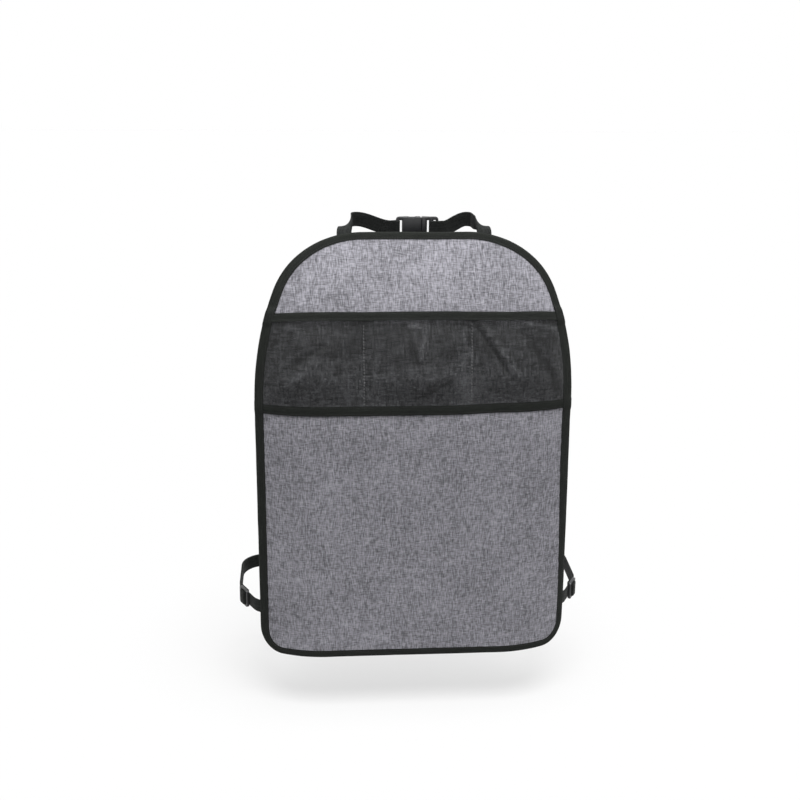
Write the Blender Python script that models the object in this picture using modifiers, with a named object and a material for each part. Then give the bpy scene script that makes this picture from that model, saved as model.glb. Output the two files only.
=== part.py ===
"""Car seat back protector: a bound cloth mat with a mesh pocket, hung from the headrest posts by two webbing straps
and held round the seat back by two more. Metres, +Z up. The mat's face looks along -Y and the seat is on its +Y side.
Everything is laid out from the mat's bottom edge, and one empty then moves it all so that the origin lies midway
between the headrest posts, at the middle of the top strap's width.
"""

import math

import bmesh
import bpy
from mathutils import Matrix, Vector

# The mat, measured flat
MAT_WIDTH = 0.445
MAT_HEIGHT = 0.610
MAT_THICKNESS = 0.0016
TOP_EDGE_WIDTH = 0.198
SHOULDER_TOP_RADIUS = 0.030
SHOULDER_TOP_TURN = math.radians(22)
SHOULDER_RADIUS = 0.150
SHOULDER_TURN = math.radians(66)
BOTTOM_CORNER_RADIUS = 0.042

# How the mat lies on the seat back
LEAN_START = 0.320
LEAN_RADIUS = 0.565
FLAT_WIDTH = 0.245
WRAP_RADIUS = 0.165

# Tapes, mesh and the clearance between one layer and the next
GAP = 0.0003
BINDING_GAP = 0.0005
BINDING_WIDTH = 0.0105
PRESSED_HEM = 0.0002
HEM_MARGIN = 0.002
TAPE_THICKNESS = 0.0007
MESH_THICKNESS = 0.0005
LIFT_RAMP = 0.004

# The mesh pocket, measured flat
POCKET_DROP = 0.107
POCKET_HEIGHT = 0.138
POCKET_DEPTH = 0.0105
POCKET_MOUTH_DEPTH = 0.0075
SEAM_SPACING = 0.152
TOP_BAND_HEIGHT = 0.012
BOTTOM_BAND_HEIGHT = 0.016
BOTTOM_BAND_OVERHANG = 0.003
TUCK_UNDER_BINDING = 0.006
POCKET_FOOT_RAMP = 0.030
POCKET_SIDE_EASE = 0.003

# Webbing
WEBBING_WIDTH = 0.020
WEBBING_THICKNESS = 0.0012
SEWN_LENGTH = 0.020
BAR_BEND = 0.0009
SEWN_TAIL = 0.022

# Side-release buckle: lengths from the line where the socket's mouth meets the plug's shoulder
BUCKLE_WIDTH = 0.030
BUCKLE_THICKNESS = 0.0105
BAR_END_THICKNESS = 0.005
BUCKLE_CORNER = 0.004
SLOT_WIDTH = 0.0215
SLOT_LENGTH = 0.0045
BAR_LENGTH = 0.004
LADDER_BAR_LENGTH = 0.0035
SOCKET_LENGTH = 0.035
SHOULDER_LENGTH = 0.008
CAVITY_DEPTH = 0.0235
CAVITY_WIDTH = 0.0245
CAVITY_THICKNESS = 0.0062
WINDOW_NEAR = 0.0060
WINDOW_FAR = 0.0190
PRONG_THICKNESS = 0.0054
PRONG_REACH = 0.0215
PLUG_GAP = 0.0004

# Slider on each lower strap
SLIDER_WIDTH = 0.026
SLIDER_BAR = 0.004
SLIDER_SLOT = 0.006
SLIDER_THICKNESS = 0.0035
SLIDER_CORNER = 0.003

# Top straps: the posts that they close round, and where the buckle hangs
POST_SPACING = 0.152
POST_RADIUS = 0.006
POST_BEHIND_EDGE = 0.052
STRAP_ABOVE_EDGE = 0.0085
TOP_STRAP_SPACING = 0.189
TOP_BUCKLE_OFFSET = 0.014
TOP_BUCKLE_SAG = 0.012
TOP_TAIL_LENGTH = 0.050

# Lower straps: a loop round the seat back
LOWER_STRAP_HEIGHT = 0.065
LOWER_STRAP_RISE = 0.002
LOWER_FIRST_RUN = 0.012
LOWER_SLIDER_RUN = 0.050
LOWER_SLIDER_PLACE = 0.030
LOWER_SLIDER_HEADING = math.radians(61)
SEAT_DEPTH = 0.180
SEAT_CORNER = 0.035
LOWER_BUCKLE_OFFSET = 0.008
LOWER_SEWN_TAIL = 0.024

UP = Vector((0, 0, 1))
ARC_STEP = math.radians(15)


def smooth(share):
    """Eases from 0 to 1 as share goes from 0 to 1."""
    share = min(1.0, max(0.0, share))
    return share * share * (3 - 2 * share)


# Shape of the mat


def wrap_angle(u):
    """How far the mat has turned round the seat's side at a distance u from its middle."""
    return max(0.0, abs(u) - FLAT_WIDTH / 2) / WRAP_RADIUS


def mat_point(u, v, lift=0.0):
    """The place in space of the flat mat's point (u, v), raised by lift from the middle of the cloth."""
    lean = max(0.0, v - LEAN_START) / LEAN_RADIUS
    flat_v = min(v, LEAN_START)
    rise = Vector((0, LEAN_RADIUS * (1 - math.cos(lean)), flat_v + LEAN_RADIUS * math.sin(lean)))
    inward = Vector((0, math.cos(lean), -math.sin(lean)))
    side = Vector((math.copysign(1, u), 0, 0))
    turn = wrap_angle(u)
    across = min(abs(u), FLAT_WIDTH / 2) + WRAP_RADIUS * math.sin(turn)
    normal = side * math.sin(turn) - inward * math.cos(turn)
    return rise + side * across + inward * WRAP_RADIUS * (1 - math.cos(turn)) + normal * lift


def shoulder_arcs():
    """(start u, start v, radius, first heading, last heading) for each arc from the top edge to the straight side."""
    arcs = []
    u, v, heading = TOP_EDGE_WIDTH / 2, MAT_HEIGHT, 0.0
    for radius, end in ((SHOULDER_TOP_RADIUS, SHOULDER_TOP_TURN), (SHOULDER_RADIUS, SHOULDER_TURN)):
        arcs.append((u, v, radius, heading, end))
        u += radius * (math.sin(end) - math.sin(heading))
        v -= radius * (math.cos(heading) - math.cos(end))
        heading = end
    side_radius = (MAT_WIDTH / 2 - u) / (1 - math.sin(heading))
    arcs.append((u, v, side_radius, heading, math.pi / 2))
    return arcs


def half_width(v):
    """Half the flat mat's width at height v."""
    if v < BOTTOM_CORNER_RADIUS:
        drop = BOTTOM_CORNER_RADIUS - v
        return MAT_WIDTH / 2 - BOTTOM_CORNER_RADIUS + math.sqrt(max(0.0, BOTTOM_CORNER_RADIUS**2 - drop**2))
    for u0, v0, radius, first, last in shoulder_arcs():
        if v >= v0 - radius * (math.cos(first) - math.cos(last)):
            heading = math.acos(min(1.0, max(-1.0, math.cos(first) - (v0 - v) / radius)))
            return u0 + radius * (math.sin(heading) - math.sin(first))
    return MAT_WIDTH / 2


def edge_slant(v):
    """How much lower the binding's inner edge lies than its outer edge at height v."""
    reach = 0.002
    run = half_width(v - reach) - half_width(v + reach)
    return BINDING_WIDTH * run / math.hypot(run, 2 * reach)


POCKET_TOP = MAT_HEIGHT - POCKET_DROP
POCKET_BOTTOM = POCKET_TOP - POCKET_HEIGHT
POCKET_COVER_TOP = POCKET_TOP + edge_slant(POCKET_TOP) + GAP


def side_rows():
    """Heights, from the top edge down, at which the mat's side has a point."""
    rows = {0.0, MAT_HEIGHT}
    for (_, v0, radius, first, last), steps in zip(shoulder_arcs(), (3, 6, 8)):
        for step in range(steps + 1):
            heading = first + (last - first) * step / steps
            rows.add(v0 - radius * (math.cos(first) - math.cos(heading)))
    straight_top = min(rows - {0.0})
    corner_steps = 5
    for step in range(1, corner_steps + 1):
        rows.add(BOTTOM_CORNER_RADIUS * (1 - math.cos(math.pi / 2 * step / corner_steps)))
    rows.add(BINDING_WIDTH + HEM_MARGIN)
    straight_steps = 12
    for step in range(1, straight_steps):
        rows.add(BOTTOM_CORNER_RADIUS + (straight_top - BOTTOM_CORNER_RADIUS) * step / straight_steps)
    pocket_edges = (
        POCKET_COVER_TOP + LIFT_RAMP,
        POCKET_COVER_TOP,
        POCKET_TOP - TOP_BAND_HEIGHT - GAP,
        POCKET_TOP - TOP_BAND_HEIGHT - LIFT_RAMP,
        POCKET_BOTTOM + BOTTOM_BAND_HEIGHT + LIFT_RAMP,
        POCKET_BOTTOM + BOTTOM_BAND_HEIGHT + GAP,
        POCKET_BOTTOM - GAP,
        POCKET_BOTTOM - LIFT_RAMP,
    )
    spare = 0.006
    rows = {v for v in rows if all(abs(v - edge) > spare for edge in pocket_edges)}
    return sorted(rows | set(pocket_edges), reverse=True)


ACROSS = [0.0, 0.28, 0.5] + [0.585 + 0.415 * step / 9 for step in range(10)]
COLUMNS = [-share for share in reversed(ACROSS[1:])] + ACROSS


def outline_loop():
    """The flat mat's outline, clockwise from the middle of its top edge, through the panel's own edge points."""
    top, bottom = half_width(MAT_HEIGHT), half_width(0.0)
    rows = side_rows()
    right = [(top * share, MAT_HEIGHT) for share in ACROSS]
    right += [(half_width(v), v) for v in rows[1:-1]]
    right += [(bottom * share, 0.0) for share in reversed(ACROSS)]
    left = [(-u, v) for u, v in reversed(right[1:-1])]
    return [Vector(point) for point in right + left]


def outward(points, index):
    """The outward direction at one point of a clockwise outline, long enough to hold an even offset."""
    here = points[index]
    before = (here - points[index - 1]).normalized()
    after = (points[(index + 1) % len(points)] - here).normalized()
    turned = Vector((-before.y - after.y, before.x + after.x)).normalized()
    return turned / max(0.5, turned.dot(Vector((-before.y, before.x))))


# Helpers that make the objects


def new_object(name, mesh, collection):
    obj = bpy.data.objects.new(name, mesh)
    collection.objects.link(obj)
    return obj


def grid_sheet(name, columns, rows, place, collection, closed=False):
    """A sheet of quads whose points are set by place(column, row). A closed sheet's last row is its first."""
    bm = bmesh.new()
    bmesh.ops.create_grid(bm, x_segments=columns - 1, y_segments=rows - 1, size=1.0)
    bm.verts.ensure_lookup_table()
    for index, vert in enumerate(bm.verts):
        vert.co = place(index % columns, index // columns)
    if closed:
        bmesh.ops.remove_doubles(bm, verts=bm.verts, dist=1e-6)
    mesh = bpy.data.meshes.new(name)
    bm.to_mesh(mesh)
    bm.free()
    mesh.shade_smooth()
    return new_object(name, mesh, collection)


def thicken(obj, thickness):
    """Gives an open sheet its thickness, half on each side."""
    solidify = obj.modifiers.new("thickness", "SOLIDIFY")
    solidify.thickness = thickness
    solidify.offset = 0
    solidify.use_even_offset = True
    solidify.use_quality_normals = True


def flat_plate(name, outlines, thickness, collection):
    """A plate from closed flat outlines, the inner ones being holes, thickness along Z, as a mesh."""
    curve = bpy.data.curves.new(name, "CURVE")
    curve.dimensions = "2D"
    curve.fill_mode = "BOTH"
    curve.extrude = thickness / 2
    for outline in outlines:
        spline = curve.splines.new("POLY")
        spline.points.add(len(outline) - 1)
        spline.use_cyclic_u = True
        for point, (x, y) in zip(spline.points, outline):
            point.co = (x, y, 0, 1)
    source = new_object(name + "_outline", curve, collection)
    graph = bpy.context.evaluated_depsgraph_get()
    mesh = bpy.data.meshes.new_from_object(source.evaluated_get(graph))
    bpy.data.objects.remove(source)
    bm = bmesh.new()
    bm.from_mesh(mesh)
    bmesh.ops.remove_doubles(bm, verts=bm.verts, dist=1e-6)
    bmesh.ops.recalc_face_normals(bm, faces=bm.faces)
    bm.to_mesh(mesh)
    bm.free()
    return new_object(name, mesh, collection)


def block(name, low, high, collection):
    """A box from its low corner to its high corner."""
    bm = bmesh.new()
    bmesh.ops.create_cube(bm, size=1.0)
    for vert in bm.verts:
        vert.co = [(a + b) / 2 + (b - a) * c for a, b, c in zip(low, high, vert.co)]
    mesh = bpy.data.meshes.new(name)
    bm.to_mesh(mesh)
    bm.free()
    return new_object(name, mesh, collection)


def boolean(obj, other, operation):
    modifier = obj.modifiers.new(operation.lower(), "BOOLEAN")
    modifier.operation = operation
    modifier.object = other
    other.parent = obj
    other.hide_render = True
    other.display_type = "WIRE"


def rounded_path(corners, step=ARC_STEP):
    """Turns (x, y, radius) corners into a fine line: a list of (point, heading), both flat vectors."""
    places = [Vector(corner[:2]) for corner in corners]
    line = [(places[0], (places[1] - places[0]).normalized())]
    for before, here, after, corner in zip(places, places[1:], places[2:], corners[1:]):
        arrive, leave = (here - before).normalized(), (after - here).normalized()
        turn = arrive.angle_signed(leave)
        if abs(turn) < 1e-6:
            continue
        room = 0.49 * min((here - before).length, (after - here).length)
        reach = min(corner[2] * math.tan(abs(turn) / 2), room)
        radius = reach / math.tan(abs(turn) / 2)
        side = math.copysign(1, -turn)
        centre = here - arrive * reach + side * radius * Vector((-arrive.y, arrive.x))
        count = max(1, math.ceil(abs(turn) / step))
        for index in range(count + 1):
            spin = Matrix.Rotation(side * abs(turn) * index / count, 2)
            heading = spin @ arrive
            line.append((centre - side * radius * Vector((-heading.y, heading.x)), heading))
    line.append((places[-1], (places[-1] - places[-2]).normalized()))
    return line


def rounded_rectangle(low, high, radius):
    """A closed outline of points, from a low to a high corner."""
    (x0, y0), (x1, y1) = low, high
    middle = ((x0 + x1) / 2, y0, 0)
    corners = [middle, (x1, y0, radius), (x1, y1, radius), (x0, y1, radius), (x0, y0, radius), middle]
    return [tuple(point) for point, _ in rounded_path(corners, math.radians(30))[:-1]]


# Cloth pieces


def make_panel(collection):
    """The cloth. Its back is flat above the bottom hem, which the binding's stitching presses forward a little."""
    rows = side_rows()

    def place(column, row):
        v = rows[row]
        pressed = PRESSED_HEM if v < BINDING_WIDTH else 0.0
        return mat_point(COLUMNS[column] * half_width(v), v, pressed)

    panel = grid_sheet("mat_panel", len(COLUMNS), len(rows), place, collection)
    thicken(panel, MAT_THICKNESS)
    return panel


MESH_OVER_PANEL = MAT_THICKNESS / 2 + GAP + MESH_THICKNESS / 2
TAPE_OVER_MESH = MESH_THICKNESS / 2 + GAP + TAPE_THICKNESS / 2
MESH_OVER_BAND = MAT_THICKNESS / 2 + GAP + TAPE_THICKNESS / 2 + TAPE_OVER_MESH


def binding_lift(v):
    """How far the middle of the binding's front leg stands off the middle of the cloth at height v."""
    plain = MAT_THICKNESS / 2 + BINDING_GAP + TAPE_THICKNESS / 2
    over_mesh = MESH_OVER_PANEL + TAPE_OVER_MESH
    over_bottom = over_mesh + TAPE_THICKNESS + GAP
    over_top = MESH_OVER_BAND + TAPE_OVER_MESH + TAPE_THICKNESS + GAP
    steps = (
        (POCKET_COVER_TOP + LIFT_RAMP, plain),
        (POCKET_COVER_TOP, over_top),
        (POCKET_TOP - TOP_BAND_HEIGHT - GAP, over_top),
        (POCKET_TOP - TOP_BAND_HEIGHT - LIFT_RAMP, over_bottom),
        (POCKET_BOTTOM + BOTTOM_BAND_HEIGHT + GAP, over_bottom),
        (POCKET_BOTTOM - GAP, over_bottom),
        (POCKET_BOTTOM - LIFT_RAMP, plain),
    )
    if v >= steps[0][0]:
        return plain
    for (high, lift_high), (low, lift_low) in zip(steps, steps[1:]):
        if v >= low:
            return lift_low + (lift_high - lift_low) * (v - low) / (high - low)
    return plain


BACK_LIFT = -(MAT_THICKNESS / 2 + BINDING_GAP + TAPE_THICKNESS / 2)
NOSE_OUT = BINDING_GAP + TAPE_THICKNESS / 2


def make_binding(collection):
    """The tape folded over the mat's edge: front leg, round nose, back leg."""
    loop = outline_loop()

    def place(column, row):
        index = row % len(loop)
        point, away = loop[index], outward(loop, index)
        front = binding_lift(point.y)
        out, lift = (
            (-BINDING_WIDTH, front),
            (0.0, front),
            (NOSE_OUT, front * 0.5),
            (NOSE_OUT, BACK_LIFT * 0.5),
            (0.0, BACK_LIFT),
            (-BINDING_WIDTH, BACK_LIFT),
        )[column]
        spot = point + away * out
        return mat_point(spot.x, spot.y, lift)

    binding = grid_sheet("edge_binding", 6, len(loop) + 1, place, collection, closed=True)
    thicken(binding, TAPE_THICKNESS)
    return binding


def pocket_side(v):
    """How far from the middle the mesh and its bands reach at height v, tucked under the binding."""
    return half_width(v) - BINDING_WIDTH + TUCK_UNDER_BINDING


def compartments(v):
    """(low u, high u) of each compartment's free cloth at height v, from left to right."""
    seam = SEAM_SPACING / 2
    side = half_width(v) - BINDING_WIDTH - POCKET_SIDE_EASE
    return ((-side, -seam), (-seam, seam), (seam, side))


def pocket_columns(v):
    """Places across the pocket at height v: close together by the seams, where the mesh rises."""
    shares = (0.0, 0.05, 0.12, 0.22, 0.33, 0.44, 0.56, 0.67, 0.78, 0.88, 0.95)
    places = [-pocket_side(v)]
    for low, high in compartments(v):
        places += [low + (high - low) * share for share in shares]
    return places + [compartments(v)[-1][1], pocket_side(v)]


def mesh_lift(u, v):
    """How far the middle of the mesh stands off the middle of the cloth."""
    near_band = smooth((v - (POCKET_TOP - TOP_BAND_HEIGHT - 2 * LIFT_RAMP)) / (1.5 * LIFT_RAMP))
    lift = MESH_OVER_PANEL + near_band * (MESH_OVER_BAND - MESH_OVER_PANEL)
    foot = POCKET_BOTTOM + BOTTOM_BAND_HEIGHT
    belly = smooth((POCKET_TOP - TOP_BAND_HEIGHT - v) / POCKET_FOOT_RAMP)
    depth = POCKET_MOUTH_DEPTH + belly * (POCKET_DEPTH - POCKET_MOUTH_DEPTH)
    for low, high in compartments(v):
        if low < u < high:
            across = abs(2 * (u - low) / (high - low) - 1)
            lift += depth * (1 - across**3) * smooth((v - foot) / POCKET_FOOT_RAMP)
    return lift


def make_mesh_pocket(collection):
    foot = POCKET_BOTTOM + BOTTOM_BAND_HEIGHT
    rows = [POCKET_BOTTOM + BOTTOM_BAND_OVERHANG, foot]
    rows += [foot + POCKET_FOOT_RAMP * share for share in (0.2, 0.4, 0.6, 0.8, 1.0)]
    under_band = POCKET_TOP - TOP_BAND_HEIGHT - 2 * LIFT_RAMP
    middle_steps = 4
    rows += [rows[-1] + (under_band - rows[-1]) * step / middle_steps for step in range(1, middle_steps + 1)]
    rows += [under_band + 1.5 * LIFT_RAMP, POCKET_TOP - TOP_BAND_HEIGHT, POCKET_TOP]

    def place(column, row):
        v = rows[row]
        u = pocket_columns(v)[column]
        return mat_point(u, v, mesh_lift(u, v))

    pocket = grid_sheet("mesh_pocket", len(pocket_columns(0)), len(rows), place, collection)
    thicken(pocket, MESH_THICKNESS)
    return pocket


def make_top_band(collection):
    """The tape folded over the mesh's open edge."""

    def place(column, row):
        low = POCKET_TOP - TOP_BAND_HEIGHT
        v, off = (
            (low, TAPE_OVER_MESH),
            (POCKET_TOP, TAPE_OVER_MESH),
            (POCKET_TOP + GAP + TAPE_THICKNESS / 2, 0.0),
            (POCKET_TOP, -TAPE_OVER_MESH),
            (low, -TAPE_OVER_MESH),
        )[column]
        inside = min(v, POCKET_TOP)
        u = pocket_columns(inside)[row]
        return mat_point(u, v, mesh_lift(u, inside) + off)

    band = grid_sheet("pocket_top_band", 5, len(pocket_columns(0)), place, collection)
    thicken(band, TAPE_THICKNESS)
    return band


def make_bottom_band(collection):
    """The flat tape that covers the mesh's sewn foot."""
    rows = (POCKET_BOTTOM, POCKET_BOTTOM + BOTTOM_BAND_HEIGHT)
    reach = pocket_side(POCKET_BOTTOM)
    places = [share * reach for share in COLUMNS]

    def place(column, row):
        return mat_point(places[column], rows[row], MESH_OVER_PANEL + TAPE_OVER_MESH)

    band = grid_sheet("pocket_bottom_band", len(places), 2, place, collection)
    thicken(band, TAPE_THICKNESS)
    return band


# Webbing


def make_ribbon(name, stations, collection):
    """Webbing along (point, width direction) stations."""

    def place(column, row):
        point, across = stations[row]
        return point + across * WEBBING_WIDTH * (column - 0.5)

    ribbon = grid_sheet(name, 2, len(stations), place, collection)
    thicken(ribbon, WEBBING_THICKNESS)
    return ribbon


def mirrored(stations):
    return [(Vector((-p.x, p.y, p.z)), Vector((-b.x, b.y, b.z))) for p, b in stations]


class Route:
    """A strap's course in plan, as a fine line of (point, heading), and its height along the way."""

    def __init__(self, corners, height):
        self.line = rounded_path(corners)
        self.height = height
        self.along = [0.0]
        for (a, _), (b, _) in zip(self.line, self.line[1:]):
            self.along.append(self.along[-1] + (b - a).length)

    def place(self, s, h=0.0):
        """The point at distance s along the route and h outside it."""
        last = len(self.along) - 2
        index = max(0, min(last, sum(mark <= s for mark in self.along) - 1))
        span = max(1e-9, self.along[index + 1] - self.along[index])
        share = (s - self.along[index]) / span
        (a, head_a), (b, head_b) = self.line[index], self.line[index + 1]
        spot = a.lerp(b, share)
        heading = head_a.lerp(head_b, min(1.0, max(0.0, share))).normalized()
        spot = spot + h * Vector((heading.y, -heading.x))
        return Vector((spot.x, spot.y, self.height(s, spot)))

    def station(self, s, h):
        """A point of the webbing with its width direction, which is square to the route itself."""
        reach = 0.001
        course = (self.place(s + reach) - self.place(s - reach)).normalized()
        return self.place(s, h), (UP - course * UP.dot(course)).normalized()

    def follow(self, weave):
        """Stations of a line of (s, h), with one at each of the route's own points on the way."""
        stations = []
        for (s0, h0), (s1, h1) in zip(weave, weave[1:]):
            passed = [mark for mark in self.along if min(s0, s1) + 1e-4 < mark < max(s0, s1) - 1e-4]
            if s1 < s0:
                passed.reverse()
            stations.append(self.station(s0, h0))
            stations += [self.station(mark, h0 + (h1 - h0) * (mark - s0) / (s1 - s0)) for mark in passed]
        stations.append(self.station(*weave[-1]))
        return stations


LAYER = WEBBING_THICKNESS + GAP
BAR_REACH = BAR_END_THICKNESS / 2 + GAP + WEBBING_THICKNESS / 2
BAR_SIDE = GAP + WEBBING_THICKNESS / 2
CONVERGE = 0.0075


def weave_line(corners):
    return [tuple(point) for point, _ in rounded_path(corners, math.radians(30))]


def bar_loop(near, far):
    """Corners (s, h, radius) of webbing that comes in outside, goes round a bar from near to far, and goes back."""
    layer, turn = LAYER / 2, far + BAR_SIDE
    return [
        (near - CONVERGE, layer, 0.006),
        (near - BAR_SIDE / 2, BAR_REACH, 0.004),
        (turn, BAR_REACH, BAR_BEND),
        (turn, -BAR_REACH, BAR_BEND),
        (near - BAR_SIDE / 2, -BAR_REACH, 0.004),
        (near - CONVERGE, -layer, 0.006),
    ]


def ladder_weave(end):
    """Corners of webbing through the plug's two slots, end being the shoulder's line: in under both bars, over the
    inner bar, and out again between the outer bar and itself."""
    half = BAR_END_THICKNESS / 2
    over = half + GAP + WEBBING_THICKNESS / 2
    under = over + LAYER
    inner_bar = end - SHOULDER_LENGTH - SLOT_LENGTH
    outer_slot = inner_bar - LADDER_BAR_LENGTH
    plug_end = outer_slot - SLOT_LENGTH - LADDER_BAR_LENGTH
    clear = 0.003
    return [
        (plug_end - 0.018, -LAYER, 0.010),
        (plug_end - clear, -under, 0.010),
        (inner_bar + BAR_SIDE, -under, BAR_BEND),
        (inner_bar + BAR_SIDE, over, BAR_BEND),
        (outer_slot - BAR_SIDE, over, BAR_BEND),
        (outer_slot - BAR_SIDE, -over, BAR_BEND),
        (plug_end - clear, -over, 0.010),
        (plug_end - 0.018, 0.0, 0.010),
    ]


SLIDER_OUT = SLIDER_THICKNESS / 2 + BAR_SIDE + LAYER / 2


def slider_crossing(s):
    """Corners of the first layer past a slider at s: up through one slot, over the bar and the loop, and down."""
    top = SLIDER_OUT + SLIDER_THICKNESS / 2 + BAR_SIDE + LAYER
    foot = SLIDER_BAR / 2 + SLIDER_SLOT * 0.75
    crest = SLIDER_BAR / 2 + SLIDER_SLOT * 0.4
    return [
        (s - foot, LAYER / 2, BAR_BEND),
        (s - crest, top, BAR_BEND),
        (s + crest, top, BAR_BEND),
        (s + foot, LAYER / 2, BAR_BEND),
    ]


def slider_loop(s):
    """Corners of the second layer's end: up, back over the slider's middle bar, down, and under itself."""
    side = SLIDER_BAR / 2 + BAR_SIDE
    top = SLIDER_OUT + SLIDER_THICKNESS / 2 + BAR_SIDE
    return [
        (s + side, -LAYER / 2, BAR_BEND),
        (s + side, top, BAR_BEND),
        (s - side, top, BAR_BEND),
        (s - side, -1.5 * LAYER, BAR_BEND),
        (s + side + LOWER_SEWN_TAIL, -1.5 * LAYER, 0.0),
    ]


BEHIND_BINDING = BACK_LIFT - TAPE_THICKNESS / 2 - GAP - WEBBING_THICKNESS / 2

# Top straps

TOP_EDGE = mat_point(0.0, MAT_HEIGHT)
POST_Y = TOP_EDGE.y + POST_BEHIND_EDGE
STRAP_Z = TOP_EDGE.z + STRAP_ABOVE_EDGE
LOOP_Y = POST_Y + POST_RADIUS + GAP + WEBBING_THICKNESS / 2
LOOP_X = POST_SPACING / 2 + POST_RADIUS + GAP + WEBBING_THICKNESS / 2


def top_route(mating_x, buckle_end):
    """In plan, from beside the right-hand post round its far side to the buckle's mating line. The strap is level
    round the post and sags evenly towards the near end of the buckle."""
    start, stop = POST_SPACING / 2, buckle_end + CONVERGE

    def height(_, spot):
        return STRAP_Z - TOP_BUCKLE_SAG * smooth((start - abs(spot.x)) / (start - stop))

    start_y = POST_Y - 0.014
    return Route(((LOOP_X + 0.0008, start_y, 0), (LOOP_X, LOOP_Y, 0.0075), (mating_x, LOOP_Y, 0)), height)


def twist(start, start_heading, start_across, end, end_heading, end_across, steps):
    """Webbing that turns from one (point, heading, width direction) to another in an even curve."""
    reach = (end - start).length * 0.42
    stations = []
    for step in range(1, steps):
        t = step / steps
        a, b = start + start_heading * reach, end - end_heading * reach
        point = start * (1 - t) ** 3 + a * 3 * t * (1 - t) ** 2 + b * 3 * t * t * (1 - t) + end * t**3
        course = (a - start) * (1 - t) ** 2 + (b - a) * 2 * t * (1 - t) + (end - b) * t * t
        course.normalize()
        across = start_across.lerp(end_across, smooth(t))
        across -= course * across.dot(course)
        stations.append((point, across.normalized()))
    return stations


def top_strap_stations(mating_x, buckle_end, weave):
    """One right-hand top strap: sewn behind the mat's top edge, twisted up and round the post, then woven."""
    u = TOP_STRAP_SPACING / 2
    sewn = [mat_point(u, MAT_HEIGHT - SEWN_LENGTH * share, BEHIND_BINDING) for share in (1.0, 0.5, 0.0)]
    first = [(point, Vector((1, 0, 0))) for point in sewn]
    route = top_route(mating_x, buckle_end)
    length = route.along[-1]
    corners = [(0.0, 0.0, 0.0)] + [(length - s, h, r) for s, h, r in weave]
    rest = [(point, -across) for point, across in route.follow(weave_line(corners))]
    up = (sewn[-1] - sewn[-2]).normalized()
    heading = (rest[1][0] - rest[0][0]).normalized()
    middle = twist(sewn[-1], up, first[-1][1], rest[0][0], heading, rest[0][1], 12)
    return first + middle + rest


def make_top_straps(collection):
    socket_bar = bar_loop(-SOCKET_LENGTH, -SOCKET_LENGTH + BAR_LENGTH)
    weave = [(-s, h, r) for s, h, r in socket_bar]
    weave.append((SOCKET_LENGTH + SEWN_TAIL, -LAYER / 2, 0.0))
    left = mirrored(top_strap_stations(-TOP_BUCKLE_OFFSET, SOCKET_LENGTH - TOP_BUCKLE_OFFSET, weave))
    ladder = [(-s, h, r) for s, h, r in ladder_weave(0.0)]
    ladder.append((TOP_TAIL_LENGTH, 0.0, 0.0))
    ladder_end = TOP_BUCKLE_OFFSET + SHOULDER_LENGTH + 2 * (SLOT_LENGTH + LADDER_BAR_LENGTH)
    right = top_strap_stations(TOP_BUCKLE_OFFSET, ladder_end, ladder)
    return (
        make_ribbon("top_strap_left", left, collection),
        make_ribbon("top_strap_right", right, collection),
    )


# Lower straps


def lower_height(s, _):
    """The strap climbs evenly along the seat's side and is level across its front."""
    straight = 0.7
    slope = 1 / (straight + (1 - straight) / 2)
    share = min(1.0, s / (SEAT_DEPTH - SEAT_CORNER))
    climb = slope * share
    if share > straight:
        climb -= slope * (share - straight) ** 2 / (2 * (1 - straight))
    return LOWER_STRAP_HEIGHT + LOWER_STRAP_RISE * climb


LOWER_EDGE_TURN = wrap_angle(MAT_WIDTH / 2)


def lower_route(mating_x):
    """In plan, from the mat's right-hand edge round the seat's side and front to the buckle's mating line."""
    edge = mat_point(MAT_WIDTH / 2, LOWER_STRAP_HEIGHT, BEHIND_BINDING - LAYER / 2).xy
    heading = Vector((math.cos(LOWER_EDGE_TURN), math.sin(LOWER_EDGE_TURN)))
    first = edge + heading * LOWER_FIRST_RUN
    run = Vector((math.cos(LOWER_SLIDER_HEADING), math.sin(LOWER_SLIDER_HEADING)))
    second = first + run * LOWER_SLIDER_RUN
    corners = (
        (*edge, 0),
        (*first, 0.020),
        (*second, 0.025),
        (second.x, SEAT_DEPTH, SEAT_CORNER),
        (mating_x, SEAT_DEPTH, 0),
    )
    return Route(corners, lower_height)


SLIDER_AT = LOWER_FIRST_RUN + LOWER_SLIDER_PLACE


def lower_strap_stations(mating_x, bar_near, bar_far):
    """One right-hand lower strap. The bar's two sides are given as distances from the buckle's mating line."""
    route = lower_route(mating_x)
    length = route.along[-1]
    corners = [(0.0, LAYER / 2, 0.0)]
    corners += slider_crossing(SLIDER_AT)
    corners += bar_loop(length - bar_near, length - bar_far)
    corners += slider_loop(SLIDER_AT)
    woven = route.follow(weave_line(corners))
    sewn = []
    for share in (1.0, 0.66, 0.33):
        back = SEWN_LENGTH * share
        point = mat_point(MAT_WIDTH / 2 - back, LOWER_STRAP_HEIGHT, BEHIND_BINDING)
        sewn.append((point, woven[0][1]))
    return sewn + woven


PLUG_BAR_FAR = SHOULDER_LENGTH + SLOT_LENGTH
PLUG_BAR_NEAR = PLUG_BAR_FAR + BAR_LENGTH


def make_lower_straps(collection):
    left = lower_strap_stations(-LOWER_BUCKLE_OFFSET, SOCKET_LENGTH, SOCKET_LENGTH - BAR_LENGTH)
    right = lower_strap_stations(LOWER_BUCKLE_OFFSET, PLUG_BAR_NEAR, PLUG_BAR_FAR)
    return (
        make_ribbon("lower_strap_left", mirrored(left), collection),
        make_ribbon("lower_strap_right", right, collection),
    )


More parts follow.
